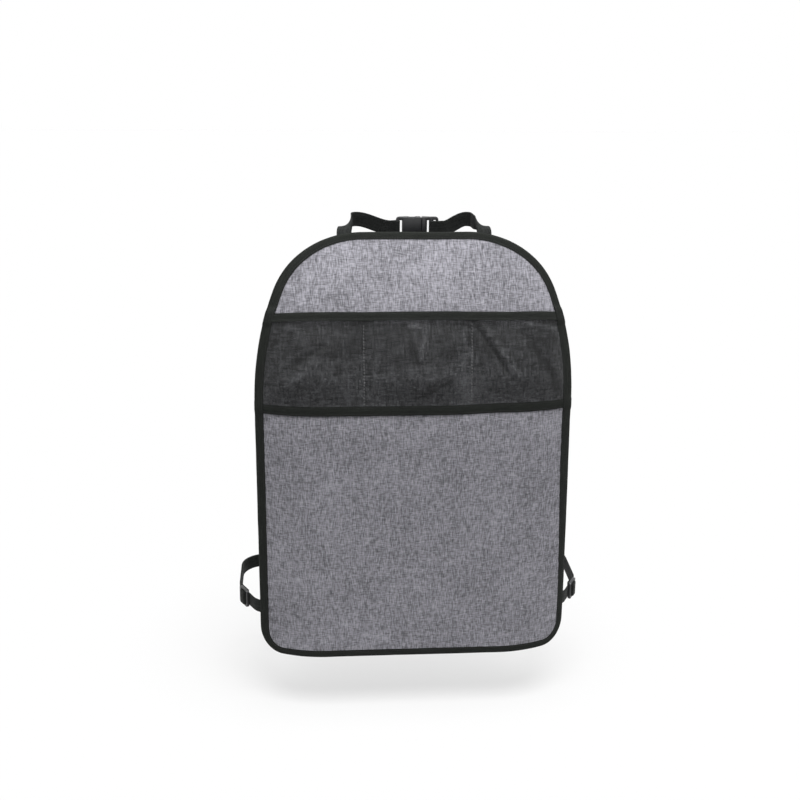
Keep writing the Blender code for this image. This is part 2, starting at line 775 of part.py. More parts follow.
def make_slider(name, side, collection):
    """A three-bar slider, set on the lower strap on that side: 1 is right, -1 is left."""
    length = 3 * SLIDER_BAR + 2 * SLIDER_SLOT
    outlines = [
        rounded_rectangle(
            (-length / 2, -SLIDER_WIDTH / 2), (length / 2, SLIDER_WIDTH / 2), SLIDER_CORNER
        )
    ]
    for way in (-1, 1):
        middle = way * (SLIDER_BAR + SLIDER_SLOT) / 2
        outlines.append(
            rounded_rectangle(
                (middle - SLIDER_SLOT / 2, -SLOT_WIDTH / 2),
                (middle + SLIDER_SLOT / 2, SLOT_WIDTH / 2),
                SLIDER_SLOT / 4,
            )
        )
    slider = flat_plate(name, outlines, SLIDER_THICKNESS, collection)
    route = lower_route(LOWER_BUCKLE_OFFSET)
    before, after = route.place(SLIDER_AT - 0.004, SLIDER_OUT), route.place(SLIDER_AT + 0.004, SLIDER_OUT)
    course = (after - before).normalized()
    across = (UP - course * UP.dot(course)).normalized()
    out = course.cross(across)
    centre = route.place(SLIDER_AT, SLIDER_OUT)
    turn = Matrix((course, across, out)).transposed()
    if side < 0:
        flip = Matrix.Diagonal((-1, 1, 1))
        turn = flip @ turn @ Matrix.Diagonal((1, 1, -1))
        centre.x = -centre.x
    slider.rotation_euler = turn.to_euler()
    slider.location = centre
    return slider


# Buckle halves, drawn flat: X along the strap, Y across it, Z through the thickness


def profile_body(name, plan, side_profile, collection, helpers):
    """A moulding whose outline in plan and whose outline from the side are both given."""
    body = flat_plate(name, [plan], 2 * BUCKLE_THICKNESS, collection)
    side = flat_plate(name + "_side", [side_profile], 2 * BUCKLE_WIDTH, helpers)
    side.rotation_euler.x = math.pi / 2
    boolean(body, side, "INTERSECT")
    return body


def make_socket(name, collection, helpers):
    """The female half: a flat box open at its mouth, with a window in each side and a webbing bar at its end."""
    half, thick, thin = BUCKLE_WIDTH / 2, BUCKLE_THICKNESS / 2, BAR_END_THICKNESS / 2
    waist = half - 0.0012
    plan_corners = [
        (0, 0, 0),
        (0, half, 0.002),
        (-WINDOW_NEAR, half, 0.004),
        (-(WINDOW_NEAR + WINDOW_FAR) / 2, waist, 0.020),
        (-WINDOW_FAR, half, 0.004),
        (-SOCKET_LENGTH, half, BUCKLE_CORNER),
        (-SOCKET_LENGTH, 0, 0),
    ]
    upper = [tuple(point) for point, _ in rounded_path(plan_corners, math.radians(25))]
    plan = upper + [(x, -y) for x, y in reversed(upper[1:-1])]
    side_corners = [
        (0, 0, 0),
        (0, thick, 0.0012),
        (-CAVITY_DEPTH, thick, 0.006),
        (-SOCKET_LENGTH + BAR_LENGTH, thin, 0.006),
        (-SOCKET_LENGTH, thin, 0.002),
        (-SOCKET_LENGTH, 0, 0),
    ]
    upper = [tuple(point) for point, _ in rounded_path(side_corners, math.radians(25))]
    side_profile = upper + [(x, -y) for x, y in reversed(upper[1:-1])]
    socket = profile_body(name, plan, side_profile, collection, helpers)
    past = 0.002
    cavity_half, gape = CAVITY_WIDTH / 2, CAVITY_THICKNESS / 2
    cuts = (
        ("_cavity", (-CAVITY_DEPTH, -cavity_half, -gape), (past, cavity_half, gape)),
        ("_windows", (-WINDOW_FAR, -half - past, -gape), (-WINDOW_NEAR, half + past, gape)),
        (
            "_slot",
            (-SOCKET_LENGTH + BAR_LENGTH, -SLOT_WIDTH / 2, -thick - past),
            (-SOCKET_LENGTH + BAR_LENGTH + SLOT_LENGTH, SLOT_WIDTH / 2, thick + past),
        ),
    )
    for ending, low, high in cuts:
        boolean(socket, block(name + ending, low, high, helpers), "DIFFERENCE")
    return socket


def prong_outline():
    """The plug's two sprung prongs and the guide between them, as one closed outline."""
    lock = WINDOW_NEAR + PLUG_GAP
    nose = WINDOW_FAR - PLUG_GAP
    inside = CAVITY_WIDTH / 2 - PLUG_GAP
    head = BUCKLE_WIDTH / 2 - 0.0014
    root = -0.002
    upper_corners = [
        (-nose, 0, 0),
        (-nose, 0.0016, 0.001),
        (0, 0.0026, 0.0015),
        (0, inside * 0.63, 0.0015),
        (-PRONG_REACH * 0.55, inside * 0.73, 0.02),
        (-PRONG_REACH, inside * 0.82, 0.001),
        (-PRONG_REACH, inside - 0.0006, 0.001),
        (-nose, inside, 0.001),
        (-nose * 0.72, head, 0.003),
        (-lock, head - 0.0003, 0.0008),
        (-lock, inside - 0.001, 0.0006),
        (-root * 1.2, inside - 0.0012, 0.0),
    ]
    upper = [tuple(point) for point, _ in rounded_path(upper_corners, math.radians(30))]
    return upper + [(x, -y) for x, y in reversed(upper[1:])]


def make_plug(name, slots, collection, helpers):
    """The male half: prongs and guide, a shoulder as thick as the socket, and one or two webbing slots."""
    half, thick, thin = BUCKLE_WIDTH / 2, BUCKLE_THICKNESS / 2, BAR_END_THICKNESS / 2
    bars = [BAR_LENGTH] if slots == 1 else [LADDER_BAR_LENGTH] * slots
    length = SHOULDER_LENGTH + slots * SLOT_LENGTH + sum(bars)
    plan_corners = [(PLUG_GAP, 0, 0), (PLUG_GAP, half, 0.002), (length, half, BUCKLE_CORNER), (length, 0, 0)]
    upper = [tuple(point) for point, _ in rounded_path(plan_corners, math.radians(25))]
    plan = [(x, -y) for x, y in reversed(upper[1:-1])] + upper
    side_corners = [
        (PLUG_GAP, 0, 0),
        (PLUG_GAP, thick, 0.0012),
        (SHOULDER_LENGTH * 0.45, thick, 0.004),
        (SHOULDER_LENGTH + SLOT_LENGTH, thin, 0.004),
        (length, thin, 0.002),
        (length, 0, 0),
    ]
    upper = [tuple(point) for point, _ in rounded_path(side_corners, math.radians(25))]
    side_profile = [(x, -y) for x, y in reversed(upper[1:-1])] + upper
    plug = profile_body(name, plan, side_profile, collection, helpers)
    past = 0.002
    start = SHOULDER_LENGTH
    for index, bar in enumerate(bars):
        low = (start, -SLOT_WIDTH / 2, -thick - past)
        high = (start + SLOT_LENGTH, SLOT_WIDTH / 2, thick + past)
        boolean(plug, block(f"{name}_slot_{index}", low, high, helpers), "DIFFERENCE")
        start += SLOT_LENGTH + bar
    prongs = flat_plate(name + "_prongs", [prong_outline()], PRONG_THICKNESS, helpers)
    boolean(plug, prongs, "UNION")
    return plug


def set_buckle(piece, x, y, z):
    """Stands a flat buckle half on edge behind the mat: its width upright and its thickness along Y."""
    piece.location = (x, y, z)
    piece.rotation_euler.x = math.pi / 2


# Materials


def make_material(name, colour, roughness, metallic=0.0):
    material = bpy.data.materials.new(name)
    material.use_nodes = True
    shader = material.node_tree.nodes["Principled BSDF"]
    shader.inputs["Base Color"].default_value = (*colour, 1)
    shader.inputs["Roughness"].default_value = roughness
    shader.inputs["Metallic"].default_value = metallic
    material.diffuse_color = (*colour, 1)
    return material


def main():
    for obj in list(bpy.data.objects):
        bpy.data.objects.remove(obj)
    parts = bpy.data.collections.new("car_seat_protector")
    helpers = bpy.data.collections.new("cutters")
    for collection in (parts, helpers):
        bpy.context.scene.collection.children.link(collection)

    grey_cloth = make_material("grey_heather_cloth", (0.24, 0.24, 0.26), 0.9)
    black_tape = make_material("black_tape", (0.022, 0.024, 0.023), 0.8)
    black_mesh = make_material("black_mesh", (0.030, 0.031, 0.033), 0.8)
    black_webbing = make_material("black_webbing", (0.020, 0.022, 0.022), 0.75)
    black_plastic = make_material("black_plastic", (0.015, 0.016, 0.017), 0.35)

    top_z = STRAP_Z - TOP_BUCKLE_SAG
    lower_z = LOWER_STRAP_HEIGHT + LOWER_STRAP_RISE
    top_socket = make_socket("top_buckle_socket", parts, helpers)
    top_plug = make_plug("top_buckle_plug", 2, parts, helpers)
    lower_socket = make_socket("lower_buckle_socket", parts, helpers)
    lower_plug = make_plug("lower_buckle_plug", 1, parts, helpers)
    for piece in (top_socket, top_plug):
        set_buckle(piece, TOP_BUCKLE_OFFSET, LOOP_Y, top_z)
    for piece in (lower_socket, lower_plug):
        set_buckle(piece, LOWER_BUCKLE_OFFSET, SEAT_DEPTH, lower_z)

    finishes = {
        grey_cloth: (make_panel(parts),),
        black_tape: (make_binding(parts), make_top_band(parts), make_bottom_band(parts)),
        black_mesh: (make_mesh_pocket(parts),),
        black_webbing: (*make_top_straps(parts), *make_lower_straps(parts)),
        black_plastic: (
            make_slider("slider_left", -1, parts),
            make_slider("slider_right", 1, parts),
            top_socket,
            top_plug,
            lower_socket,
            lower_plug,
        ),
    }

    hanging_frame = bpy.data.objects.new("hanging_frame", None)
    parts.objects.link(hanging_frame)
    hanging_frame.location = (0, -POST_Y, -STRAP_Z)
    for material, pieces in finishes.items():
        for piece in pieces:
            piece.data.materials.append(material)
            piece.parent = hanging_frame


main()
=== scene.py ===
import math

import bpy
import numpy as np
from mathutils import Matrix, Vector, noise


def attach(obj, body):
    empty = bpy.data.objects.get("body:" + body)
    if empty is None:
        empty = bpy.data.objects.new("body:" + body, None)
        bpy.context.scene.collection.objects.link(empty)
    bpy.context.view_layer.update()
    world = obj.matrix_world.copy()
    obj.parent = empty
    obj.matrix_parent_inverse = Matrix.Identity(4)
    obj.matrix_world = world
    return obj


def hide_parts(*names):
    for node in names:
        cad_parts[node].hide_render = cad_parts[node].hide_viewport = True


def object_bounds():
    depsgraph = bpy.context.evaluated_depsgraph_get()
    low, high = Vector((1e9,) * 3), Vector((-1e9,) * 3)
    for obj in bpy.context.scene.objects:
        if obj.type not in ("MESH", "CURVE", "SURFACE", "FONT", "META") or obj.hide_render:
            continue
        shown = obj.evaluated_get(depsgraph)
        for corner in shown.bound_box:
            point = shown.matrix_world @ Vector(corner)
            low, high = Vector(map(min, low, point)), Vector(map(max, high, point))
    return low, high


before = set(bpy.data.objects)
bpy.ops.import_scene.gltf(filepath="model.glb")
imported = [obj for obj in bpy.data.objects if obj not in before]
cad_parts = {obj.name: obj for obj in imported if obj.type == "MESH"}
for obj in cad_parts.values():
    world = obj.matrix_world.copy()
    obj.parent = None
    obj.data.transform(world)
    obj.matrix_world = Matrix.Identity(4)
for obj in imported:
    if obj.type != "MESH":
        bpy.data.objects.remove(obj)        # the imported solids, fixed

cadBox = [[float(value) for value in corner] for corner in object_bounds()]
print("frame loaded", len(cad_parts), "nodes")

# the mat's own sizes, laid flat, in metres, and the bends that it hangs in
mat = {
    "width": 0.445,
    "height": 0.610,
    "half": 0.0008,            # half the cloth's thickness
    "topEdge": 0.140,
    "shoulders": ((0.138, math.radians(40)), (0.117, math.radians(68))),
    "bottomCorner": 0.035,
    "leanStart": 0.320,
    "leanRadius": 0.565,
    "flatWidth": 0.245,
    "wrapRadius": 0.165,
    "postBehind": 0.052,
    "strapAbove": 0.0085,
}
askew = {                      # the right side lies a little askew: its shift along the cloth at each height
    "heights": (0.07, 0.114, 0.183, 0.274, 0.343, 0.40, 0.45),
    "shifts": (0.0053, 0.0043, 0.0027, 0, -0.002, -0.0012, 0),
    "start": 0.10,
    "ramp": 0.12,
}
pocket = {
    "top": 0.503,
    "bottom": 0.365,
    "topBand": 0.0102,
    "bottomBand": 0.0128,
    "seams": (-0.0705, 0.0742),
    "depth": 0.0082,
    "mouth": 0.0062,
    "ramp": 0.040,
    "ease": 0.003,
    "sag": 0.0015,             # how far the upper edge hangs, and how much further at one place
    "dip": 0.0012,
    "dipAt": 0.12,
    "dipWidth": 0.04,
    "footDrop": 0.0013,        # the foot lies lower at the left, and as much higher at the right
    "footTurn": (0.04, 0.08),
}
tape = {
    "width": 0.0105,
    "thick": 0.0006,
    "under": 0.006,
    "slimmer": 0.0014,         # the legs are slimmer along the top and foot, and wider along the sides
    "wider": 0.003,
    "widerRight": 0.004,
}
leanTop = (mat["height"] - mat["leanStart"]) / mat["leanRadius"]
postY = mat["leanRadius"] * (1 - math.cos(leanTop)) + mat["postBehind"]
strapZ = mat["leanStart"] + mat["leanRadius"] * math.sin(leanTop) + mat["strapAbove"]
netMouth = pocket["top"] - pocket["topBand"]           # the net is seen from its foot to its mouth
netFoot = pocket["bottom"] + pocket["bottomBand"]


def smooth(share):
    share = min(1.0, max(0.0, share))
    return share * share * (3 - 2 * share)


def ripple(x, y, z):
    return noise.noise(Vector((x, y, z)))


def shoulderArcs():
    arcs, u, v, heading = [], mat["topEdge"] / 2, mat["height"], 0.0
    for radius, end in mat["shoulders"]:
        arcs.append((u, v, radius, heading, end))
        u += radius * (math.sin(end) - math.sin(heading))
        v -= radius * (math.cos(heading) - math.cos(end))
        heading = end
    arcs.append((u, v, (mat["width"] / 2 - u) / (1 - math.sin(heading)), heading, math.pi / 2))
    return arcs


sideArcs = shoulderArcs()


def halfWidth(v):
    corner = mat["bottomCorner"]
    if v < corner:
        return mat["width"] / 2 - corner + math.sqrt(max(0.0, corner**2 - (corner - max(0.0, v)) ** 2))
    for u0, v0, radius, first, last in sideArcs:
        if v >= v0 - radius * (math.cos(first) - math.cos(last)):
            heading = math.acos(min(1.0, max(-1.0, math.cos(first) - (v0 - v) / radius)))
            return u0 + radius * (math.sin(heading) - math.sin(first))
    return mat["width"] / 2


def wrapAngle(u):
    return max(0.0, abs(u) - mat["flatWidth"] / 2) / mat["wrapRadius"]


def onSeat(u, v, lift=0.0):
    # where the flat point (u, v) lies on the curved surface that the mat hangs against
    lean = max(0.0, v - mat["leanStart"]) / mat["leanRadius"]
    flatV = min(v, mat["leanStart"])
    y = mat["leanRadius"] * (1 - math.cos(lean))
    z = flatV + mat["leanRadius"] * math.sin(lean)
    inY, inZ = math.cos(lean), -math.sin(lean)
    side = math.copysign(1, u)
    turn = wrapAngle(u)
    across = min(abs(u), mat["flatWidth"] / 2) + mat["wrapRadius"] * math.sin(turn)
    back = mat["wrapRadius"] * (1 - math.cos(turn)) - math.cos(turn) * lift
    x = side * (across + math.sin(turn) * lift)
    return Vector((x, y + inY * back - postY, z + inZ * back - strapZ))


def onMat(u, v, lift=0.0):
    # where the flat cloth's point (u, v) lies, and a lift off its middle
    shift = float(np.interp(v, askew["heights"], askew["shifts"]))
    return onSeat(u + shift * smooth((u - askew["start"]) / askew["ramp"]), v, lift)


def outline(step):
    # the flat outline, clockwise from the middle of the top edge, at even steps
    right = [(0.0, mat["height"]), (mat["topEdge"] / 2, mat["height"])]
    for u0, v0, radius, first, last in sideArcs:
        for k in range(1, 25):
            heading = first + (last - first) * k / 24
            right.append((u0 + radius * (math.sin(heading) - math.sin(first)),
                          v0 - radius * (math.cos(first) - math.cos(heading))))
    corner = mat["bottomCorner"]
    for k in range(17):
        angle = math.pi / 2 * k / 16
        right.append((mat["width"] / 2 - corner * (1 - math.cos(angle)), corner * (1 - math.sin(angle))))
    right.append((0.0, 0.0))
    loop = right + [(-u, v) for u, v in reversed(right[1:-1])]
    points = np.array(loop + [loop[0]])
    marks = np.concatenate([[0], np.cumsum(np.hypot(*np.diff(points, axis=0).T))])
    count = round(marks[-1] / step)
    places = np.linspace(0, marks[-1], count, endpoint=False)
    ring = np.stack([np.interp(places, marks, points[:, k]) for k in (0, 1)], axis=1)
    ahead = np.roll(ring, -1, axis=0) - np.roll(ring, 1, axis=0)
    ahead /= np.linalg.norm(ahead, axis=1)[:, None]
    away = np.stack([-ahead[:, 1], ahead[:, 0]], axis=1)
    return ring, away, places


# makers


def clearSelection():
    if bpy.context.object and bpy.context.object.mode != "OBJECT":
        bpy.ops.object.mode_set(mode="OBJECT")
    bpy.ops.object.select_all(action="DESELECT")


def pick(obj):
    clearSelection()
    obj.select_set(True)
    bpy.context.view_layer.objects.active = obj


def editAll(obj):
    # opens one piece in edit mode with all of it selected
    pick(obj)
    bpy.ops.object.mode_set(mode="EDIT")
    bpy.ops.mesh.select_all(action="SELECT")


def closeEdit():
    bpy.ops.object.mode_set(mode="OBJECT")


def gridSheet(name, columns, rows, place, uvOf, closed=False):
    # a grid primitive whose points go to place(column, row)
    # its UV map holds metres along and across the cloth
    clearSelection()
    bpy.ops.mesh.primitive_grid_add(x_subdivisions=columns - 1, y_subdivisions=rows - 1, size=1)
    obj = bpy.context.object
    obj.name = obj.data.name = name
    mesh = obj.data
    spots = np.array([place(k % columns, k // columns) for k in range(columns * rows)], dtype=float)
    flat = np.array([uvOf(k % columns, k // columns) for k in range(columns * rows)], dtype=float)
    mesh.vertices.foreach_set("co", spots.ravel())
    uvMap = mesh.uv_layers[0]
    uvMap.name = "cloth"
    corners = np.empty(len(mesh.loops), dtype=np.int32)
    mesh.loops.foreach_get("vertex_index", corners)
    uvMap.data.foreach_set("uv", flat[corners].ravel())
    mesh.update()
    if closed:
        editAll(obj)
        bpy.ops.mesh.remove_doubles(threshold=1e-6)
        closeEdit()
    return obj


def applyModifier(obj, name):
    pick(obj)
    bpy.ops.object.modifier_apply(modifier=name)


def thicken(obj, thickness):
    solidify = obj.modifiers.new("thickness", "SOLIDIFY")
    solidify.thickness = thickness
    solidify.offset = 0.0
    solidify.use_even_offset = True
    solidify.use_quality_normals = True
    applyModifier(obj, "thickness")


def dress(obj, material, nodes=(), angle=50):
    obj.data.materials.clear()
    obj.data.materials.append(material)
    pick(obj)
    bpy.ops.object.shade_smooth_by_angle(angle=math.radians(angle))
    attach(obj, "root")
    if nodes:
        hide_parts(*nodes)


# node helpers and shared effect groups


class Tree:
    # short names for the nodes of one material or group
    def __init__(self, tree):
        self.tree = tree

    def node(self, kind, **facts):
        made = self.tree.nodes.new(kind)
        for key, value in facts.items():
            setattr(made, key, value)
        return made

    def link(self, source, target):
        if isinstance(source, (int, float, tuple)):
            target.default_value = source
        else:
            self.tree.links.new(source, target)

    def feed(self, sockets, given):
        # sets or links sockets, in order or by their labels
        for label, value in given.items() if isinstance(given, dict) else enumerate(given):
            self.link(value, sockets[label])

    def fed(self, kind, given, **facts):
        made = self.node(kind, **facts)
        self.feed(made.inputs, given)
        return made.outputs

    def math(self, operation, *values, clamp=False):
        return self.fed("ShaderNodeMath", values, operation=operation, use_clamp=clamp)[0]

    def plus(self, a, b, clamp=False):
        return self.math("ADD", a, b, clamp=clamp)

    def minus(self, a, b):
        return self.math("SUBTRACT", a, b)

    def times(self, a, b, clamp=False):
        return self.math("MULTIPLY", a, b, clamp=clamp)

    def over(self, a, b):
        return self.math("DIVIDE", a, b)

    def scaled(self, value, factor, added, clamp=False):
        return self.math("MULTIPLY_ADD", value, factor, added, clamp=clamp)

    def hump(self, place):
        # a rounded rise over each whole step of place
        return self.math("SINE", self.times(self.math("FRACT", place), math.pi))

    def split(self, vector):
        return self.fed("ShaderNodeSeparateXYZ", (vector,))

    def join(self, x, y, z=0.0):
        return self.fed("ShaderNodeCombineXYZ", (x, y, z))[0]

    def noise(self, vector, scale=1.0, detail=2.0, rough=0.5):
        given = {"Vector": vector, "Scale": scale, "Detail": detail, "Roughness": rough}
        return self.fed("ShaderNodeTexNoise", given)["Fac"]

    def ramp(self, value, low, high, outLow=0.0, outHigh=1.0, kind="LINEAR"):
        given = (value, low, high, outLow, outHigh)
        return self.fed("ShaderNodeMapRange", given, interpolation_type=kind, clamp=True)[0]

    def mix(self, share, a, b):
        given = {"Factor": share, "A": (*a, 1), "B": (*b, 1)}
        return self.fed("ShaderNodeMix", given, data_type="RGBA")["Result"]

    def bump(self, height, strength, distance):
        given = {"Height": height, "Strength": strength, "Distance": distance}
        return self.fed("ShaderNodeBump", given)["Normal"]


def newGroup(name, values, outputs):
    # a shared effect: a vector and named values go in, and named values come out
    group = bpy.data.node_groups.new(name, "ShaderNodeTree")
    group.interface.new_socket("Vector", in_out="INPUT", socket_type="NodeSocketVector")
    for label, value in values.items():
        socket = group.interface.new_socket(label, in_out="INPUT", socket_type="NodeSocketFloat")
        socket.default_value = value
    for label in outputs:
        group.interface.new_socket(label, in_out="OUTPUT", socket_type="NodeSocketFloat")
    tree = Tree(group)
    return group, tree, tree.node("NodeGroupInput").outputs, tree.node("NodeGroupOutput").inputs


def weaveGroup():
    # plain weave from a flat vector in metres: which yarn is on top, its roundness and its own slub colour
    group, t, given, put = newGroup(
        "plainWeave", {"Pitch": 0.0007, "Slub Length": 14.0, "Streak Width": 0.0014, "Streak Length": 0.006},
        ("Height", "Slub", "Streak"))
    yarnApart, streakApart = 7.31, 5.17    # far enough apart for each yarn to have its own noise
    x, y, _ = t.split(given["Vector"])
    px, py = t.over(x, given["Pitch"]), t.over(y, given["Pitch"])
    i, j = t.math("FLOOR", px), t.math("FLOOR", py)
    parity = t.math("FLOORED_MODULO", t.plus(i, j), 2.0)
    humpX, humpY = t.hump(px), t.hump(py)

    def onTop(warp, weft):
        return t.plus(t.times(parity, warp), t.times(t.minus(1.0, parity), weft))

    height = onTop(t.times(humpX, t.scaled(humpY, 0.5, 0.5)), t.times(humpY, t.scaled(humpX, 0.5, 0.5)))
    alongWarp = t.join(t.times(i, yarnApart), t.over(py, given["Slub Length"]))
    alongWeft = t.join(t.over(px, given["Slub Length"]), t.times(j, yarnApart), 31.7)
    slub = onTop(t.noise(alongWarp, rough=0.6), t.noise(alongWeft, rough=0.6))
    acrossWarp = t.math("FLOOR", t.over(x, given["Streak Width"]))
    acrossWeft = t.math("FLOOR", t.over(y, given["Streak Width"]))
    warpStreak = t.join(t.times(acrossWarp, streakApart), t.over(y, given["Streak Length"]), 3.3)
    weftStreak = t.join(t.over(x, given["Streak Length"]), t.times(acrossWeft, streakApart), 71.0)
    streak = t.plus(t.scaled(t.noise(warpStreak, detail=0.0), 1.3, -0.65),
                    t.minus(t.noise(weftStreak, detail=0.0), 0.5))
    t.feed(put, {"Height": height, "Slub": slub, "Streak": streak})
    return group


def ribGroup():
    # woven tape: ribs across the tape, crossed by fine lengthwise yarns
    group, t, given, put = newGroup("wovenRib", {"Rib Pitch": 0.0009, "Yarn Pitch": 0.0007},
                                    ("Height", "ToneAndShade"))
    x, y, _ = t.split(given["Vector"])
    px, py = t.over(x, given["Rib Pitch"]), t.over(y, given["Yarn Pitch"])
    yarn = t.math("FLOOR", py)
    stagger = t.times(t.math("FLOORED_MODULO", yarn, 2.0), 0.5)
    height = t.times(t.hump(t.plus(px, stagger)), t.scaled(t.hump(py), 0.6, 0.4))
    fibre = t.noise(t.join(t.times(px, 0.5), t.times(py, 0.6)), detail=3.0)
    streak = t.noise(t.join(t.times(px, 0.06), t.times(yarn, 5.3), 8.0), detail=1.0)
    # painted shade: the rib crests are painted lighter and the hollows between them darker, over the fibre
    # and streak tone
    toneAndShade = t.scaled(fibre, 1.5, t.times(height, 0.4))
    t.feed(put, {"Height": height, "ToneAndShade": t.scaled(streak, 1.2, t.minus(toneAndShade, 1.05), clamp=True)})
    return group


def netGroup():
    # knitted net: holes on a staggered lattice; Thread is 1 on the yarn and 0 in a hole; Spark picks
    # scattered stitches for painted glints
    group, t, given, put = newGroup("knittedNet", {"Pitch": 0.0015, "Hole": 0.31},
                                    ("Thread", "Height", "Line", "Spark"))
    cell, yarnApart, cloudScale = 0.0022, 5.3, 55.0
    x, y, _ = t.split(given["Vector"])
    wale, course = t.math("FLOOR", t.over(x, cell)), t.math("FLOOR", t.over(y, cell))
    waleShade = t.noise(t.join(t.times(wale, yarnApart), t.times(y, cloudScale), 9.0), detail=1.0)
    courseShade = t.noise(t.join(t.times(x, cloudScale), t.times(course, yarnApart), 4.0), detail=1.0)
    line = t.plus(t.minus(waleShade, 0.5), t.minus(courseShade, 0.5))
    stitchPlace = {"Vector": t.join(wale, course, 2.0)}
    spark = t.fed("ShaderNodeTexWhiteNoise", stitchPlace, noise_dimensions="3D")["Value"]
    px, py = t.over(x, given["Pitch"]), t.over(t.over(y, given["Pitch"]), math.sqrt(3))
    wave = t.times(t.minus(t.noise(given["Vector"], 160.0, 1.0), 0.5), 0.04)
    near = []
    for shift in (0.0, 0.5):
        dx = t.minus(t.math("FRACT", t.plus(px, shift)), 0.5)
        dy = t.times(t.minus(t.math("FRACT", t.plus(py, shift)), 0.5), math.sqrt(3))
        near.append(t.math("SQRT", t.plus(t.times(dx, dx), t.times(dy, dy))))
    reach = t.plus(t.math("MINIMUM", *near), t.scaled(line, -0.085, wave))
    t.feed(put, {"Thread": t.math("GREATER_THAN", reach, given["Hole"]),
                 "Height": t.ramp(reach, 0.25, 0.55, kind="SMOOTHSTEP"),
                 "Line": line,
                 "Spark": t.ramp(spark, 0.68, 1.0)})
    return group


def grainGroup():
    # fine moulded grain for plastic
    group, t, given, put = newGroup("mouldedGrain", {"Scale": 2500.0}, ("Height", "Smudge"))
    t.feed(put, {"Height": t.noise(given["Vector"], given["Scale"]),
                 "Smudge": t.noise(given["Vector"], 90.0, 3.0)})
    return group


effects = {"weave": weaveGroup(), "rib": ribGroup(), "net": netGroup(), "grain": grainGroup()}


def newMaterial(name, facts):
    material = bpy.data.materials.new(name)
    material.use_nodes = True
    shader = material.node_tree.nodes["Principled BSDF"]
    for label, value in facts.items():
        shader.inputs[label].default_value = value
    return material, Tree(material.node_tree), shader


def effectOn(t, effect, vector, values):
    return t.fed("ShaderNodeGroup", {"Vector": vector, **values}, node_tree=effects[effect])


def clothUv(t):
    return t.node("ShaderNodeUVMap", uv_map="cloth").outputs[0]


def objectPlace(t):
    return t.node("ShaderNodeTexCoord").outputs["Object"]


heather = {
    "dark": (0.108, 0.107, 0.118),
    "light": (0.455, 0.447, 0.497),
    "weave": {"Pitch": 0.00075, "Slub Length": 9.0, "Streak Width": 0.0010, "Streak Length": 0.0080},
    "slub": 1.35,
    "streak": 0.95,
    "cloud": 0.46,
    "cloudScale": 14.0,
    "finish": {"Sheen Weight": 0.05, "Sheen Roughness": 0.5, "Specular IOR Level": 0.2},
}


def greyCloth():
    material, t, shader = newMaterial("greyHeatherCloth", heather["finish"])
    uv = clothUv(t)
    weave = effectOn(t, "weave", uv, heather["weave"])
    cloud = t.noise(uv, heather["cloudScale"])
    level = t.scaled(weave["Slub"], heather["slub"], -0.22)
    level = t.plus(level, t.times(weave["Streak"], heather["streak"]))
    level = t.plus(level, t.scaled(cloud, heather["cloud"], -heather["cloud"] / 2), clamp=True)
    # painted shade: the hollows between the yarns are painted darker than the yarn crests, over the slub,
    # streak and cloud tone
    toneAndShade = t.times(t.scaled(weave["Height"], 0.35, 0.65), level, clamp=True)
    t.feed(shader.inputs, {"Base Color": t.mix(toneAndShade, heather["dark"], heather["light"]),
                           "Normal": t.bump(weave["Height"], 0.5, 0.0003),
                           "Roughness": t.ramp(weave["Height"], 0.0, 1.0, 0.95, 0.80)})
    return material


edgeTapeLook = {
    "dark": (0.003, 0.0036, 0.003),
    "light": (0.0185, 0.0208, 0.018),
    "pitch": {"Rib Pitch": 0.0011, "Yarn Pitch": 0.0008},
    "depth": 0.0003,
    "finish": {"Sheen Weight": 0.02, "Sheen Roughness": 0.4, "Specular IOR Level": 0.12},
}
webbingLook = {
    "dark": (0.004, 0.0045, 0.004),
    "light": (0.026, 0.028, 0.027),
    "pitch": {"Rib Pitch": 0.0016, "Yarn Pitch": 0.0011},
    "depth": 0.0004,
    "finish": {"Sheen Weight": 0.04, "Sheen Roughness": 0.4, "Specular IOR Level": 0.12},
}


def wovenTape(name, look):
    material, t, shader = newMaterial(name, look["finish"])
    woven = effectOn(t, "rib", clothUv(t), look["pitch"])
    t.feed(shader.inputs, {"Base Color": t.mix(woven["ToneAndShade"], look["dark"], look["light"]),
                           "Normal": t.bump(woven["Height"], 0.7, look["depth"]),
                           "Roughness": t.ramp(woven["Height"], 0.0, 1.0, 0.85, 0.62)})
    return material


netLook = {
    "dark": (0.005, 0.0052, 0.0055),
    "light": (0.085, 0.087, 0.091),
    "pitch": 0.0015,
    "slackHole": 0.205,
    "tightHole": 0.320,
    "stretchAndShade": 1.3,            # the net is tightest at this value, and slackest at its negative; its yarn is painted lightest at the one and darkest at the other
    "finish": {"Roughness": 0.55, "Sheen Weight": 0.05, "Specular IOR Level": 0.25},
}


def meshNet():
    material, t, shader = newMaterial("blackKnittedNet", netLook["finish"])
    stretchAndShade = t.node("ShaderNodeAttribute", attribute_name="stretchAndShade").outputs["Fac"]
    limit = netLook["stretchAndShade"]
    hole = t.ramp(stretchAndShade, -limit, limit, netLook["slackHole"], netLook["tightHole"])
    net = effectOn(t, "net", clothUv(t), {"Pitch": netLook["pitch"], "Hole": hole})
    # the yarn's colour: the Line tone, with painted shade at the hole rims, painted shade where the net is
    # slack, painted highlight where it is tight, and painted glints from Spark on tight yarn
    lit = t.scaled(net["Line"], 1.35, t.scaled(net["Height"], 0.3, 0.06))
    spark = t.times(net["Spark"], t.scaled(stretchAndShade, 1.1, 0.3, clamp=True))
    lit = t.plus(lit, t.scaled(stretchAndShade, 0.22, spark), clamp=True)
    t.feed(shader.inputs, {"Base Color": t.mix(lit, netLook["dark"], netLook["light"]),
                           "Alpha": net["Thread"],
                           "Normal": t.bump(net["Height"], 0.5, 0.0003)})
    return material


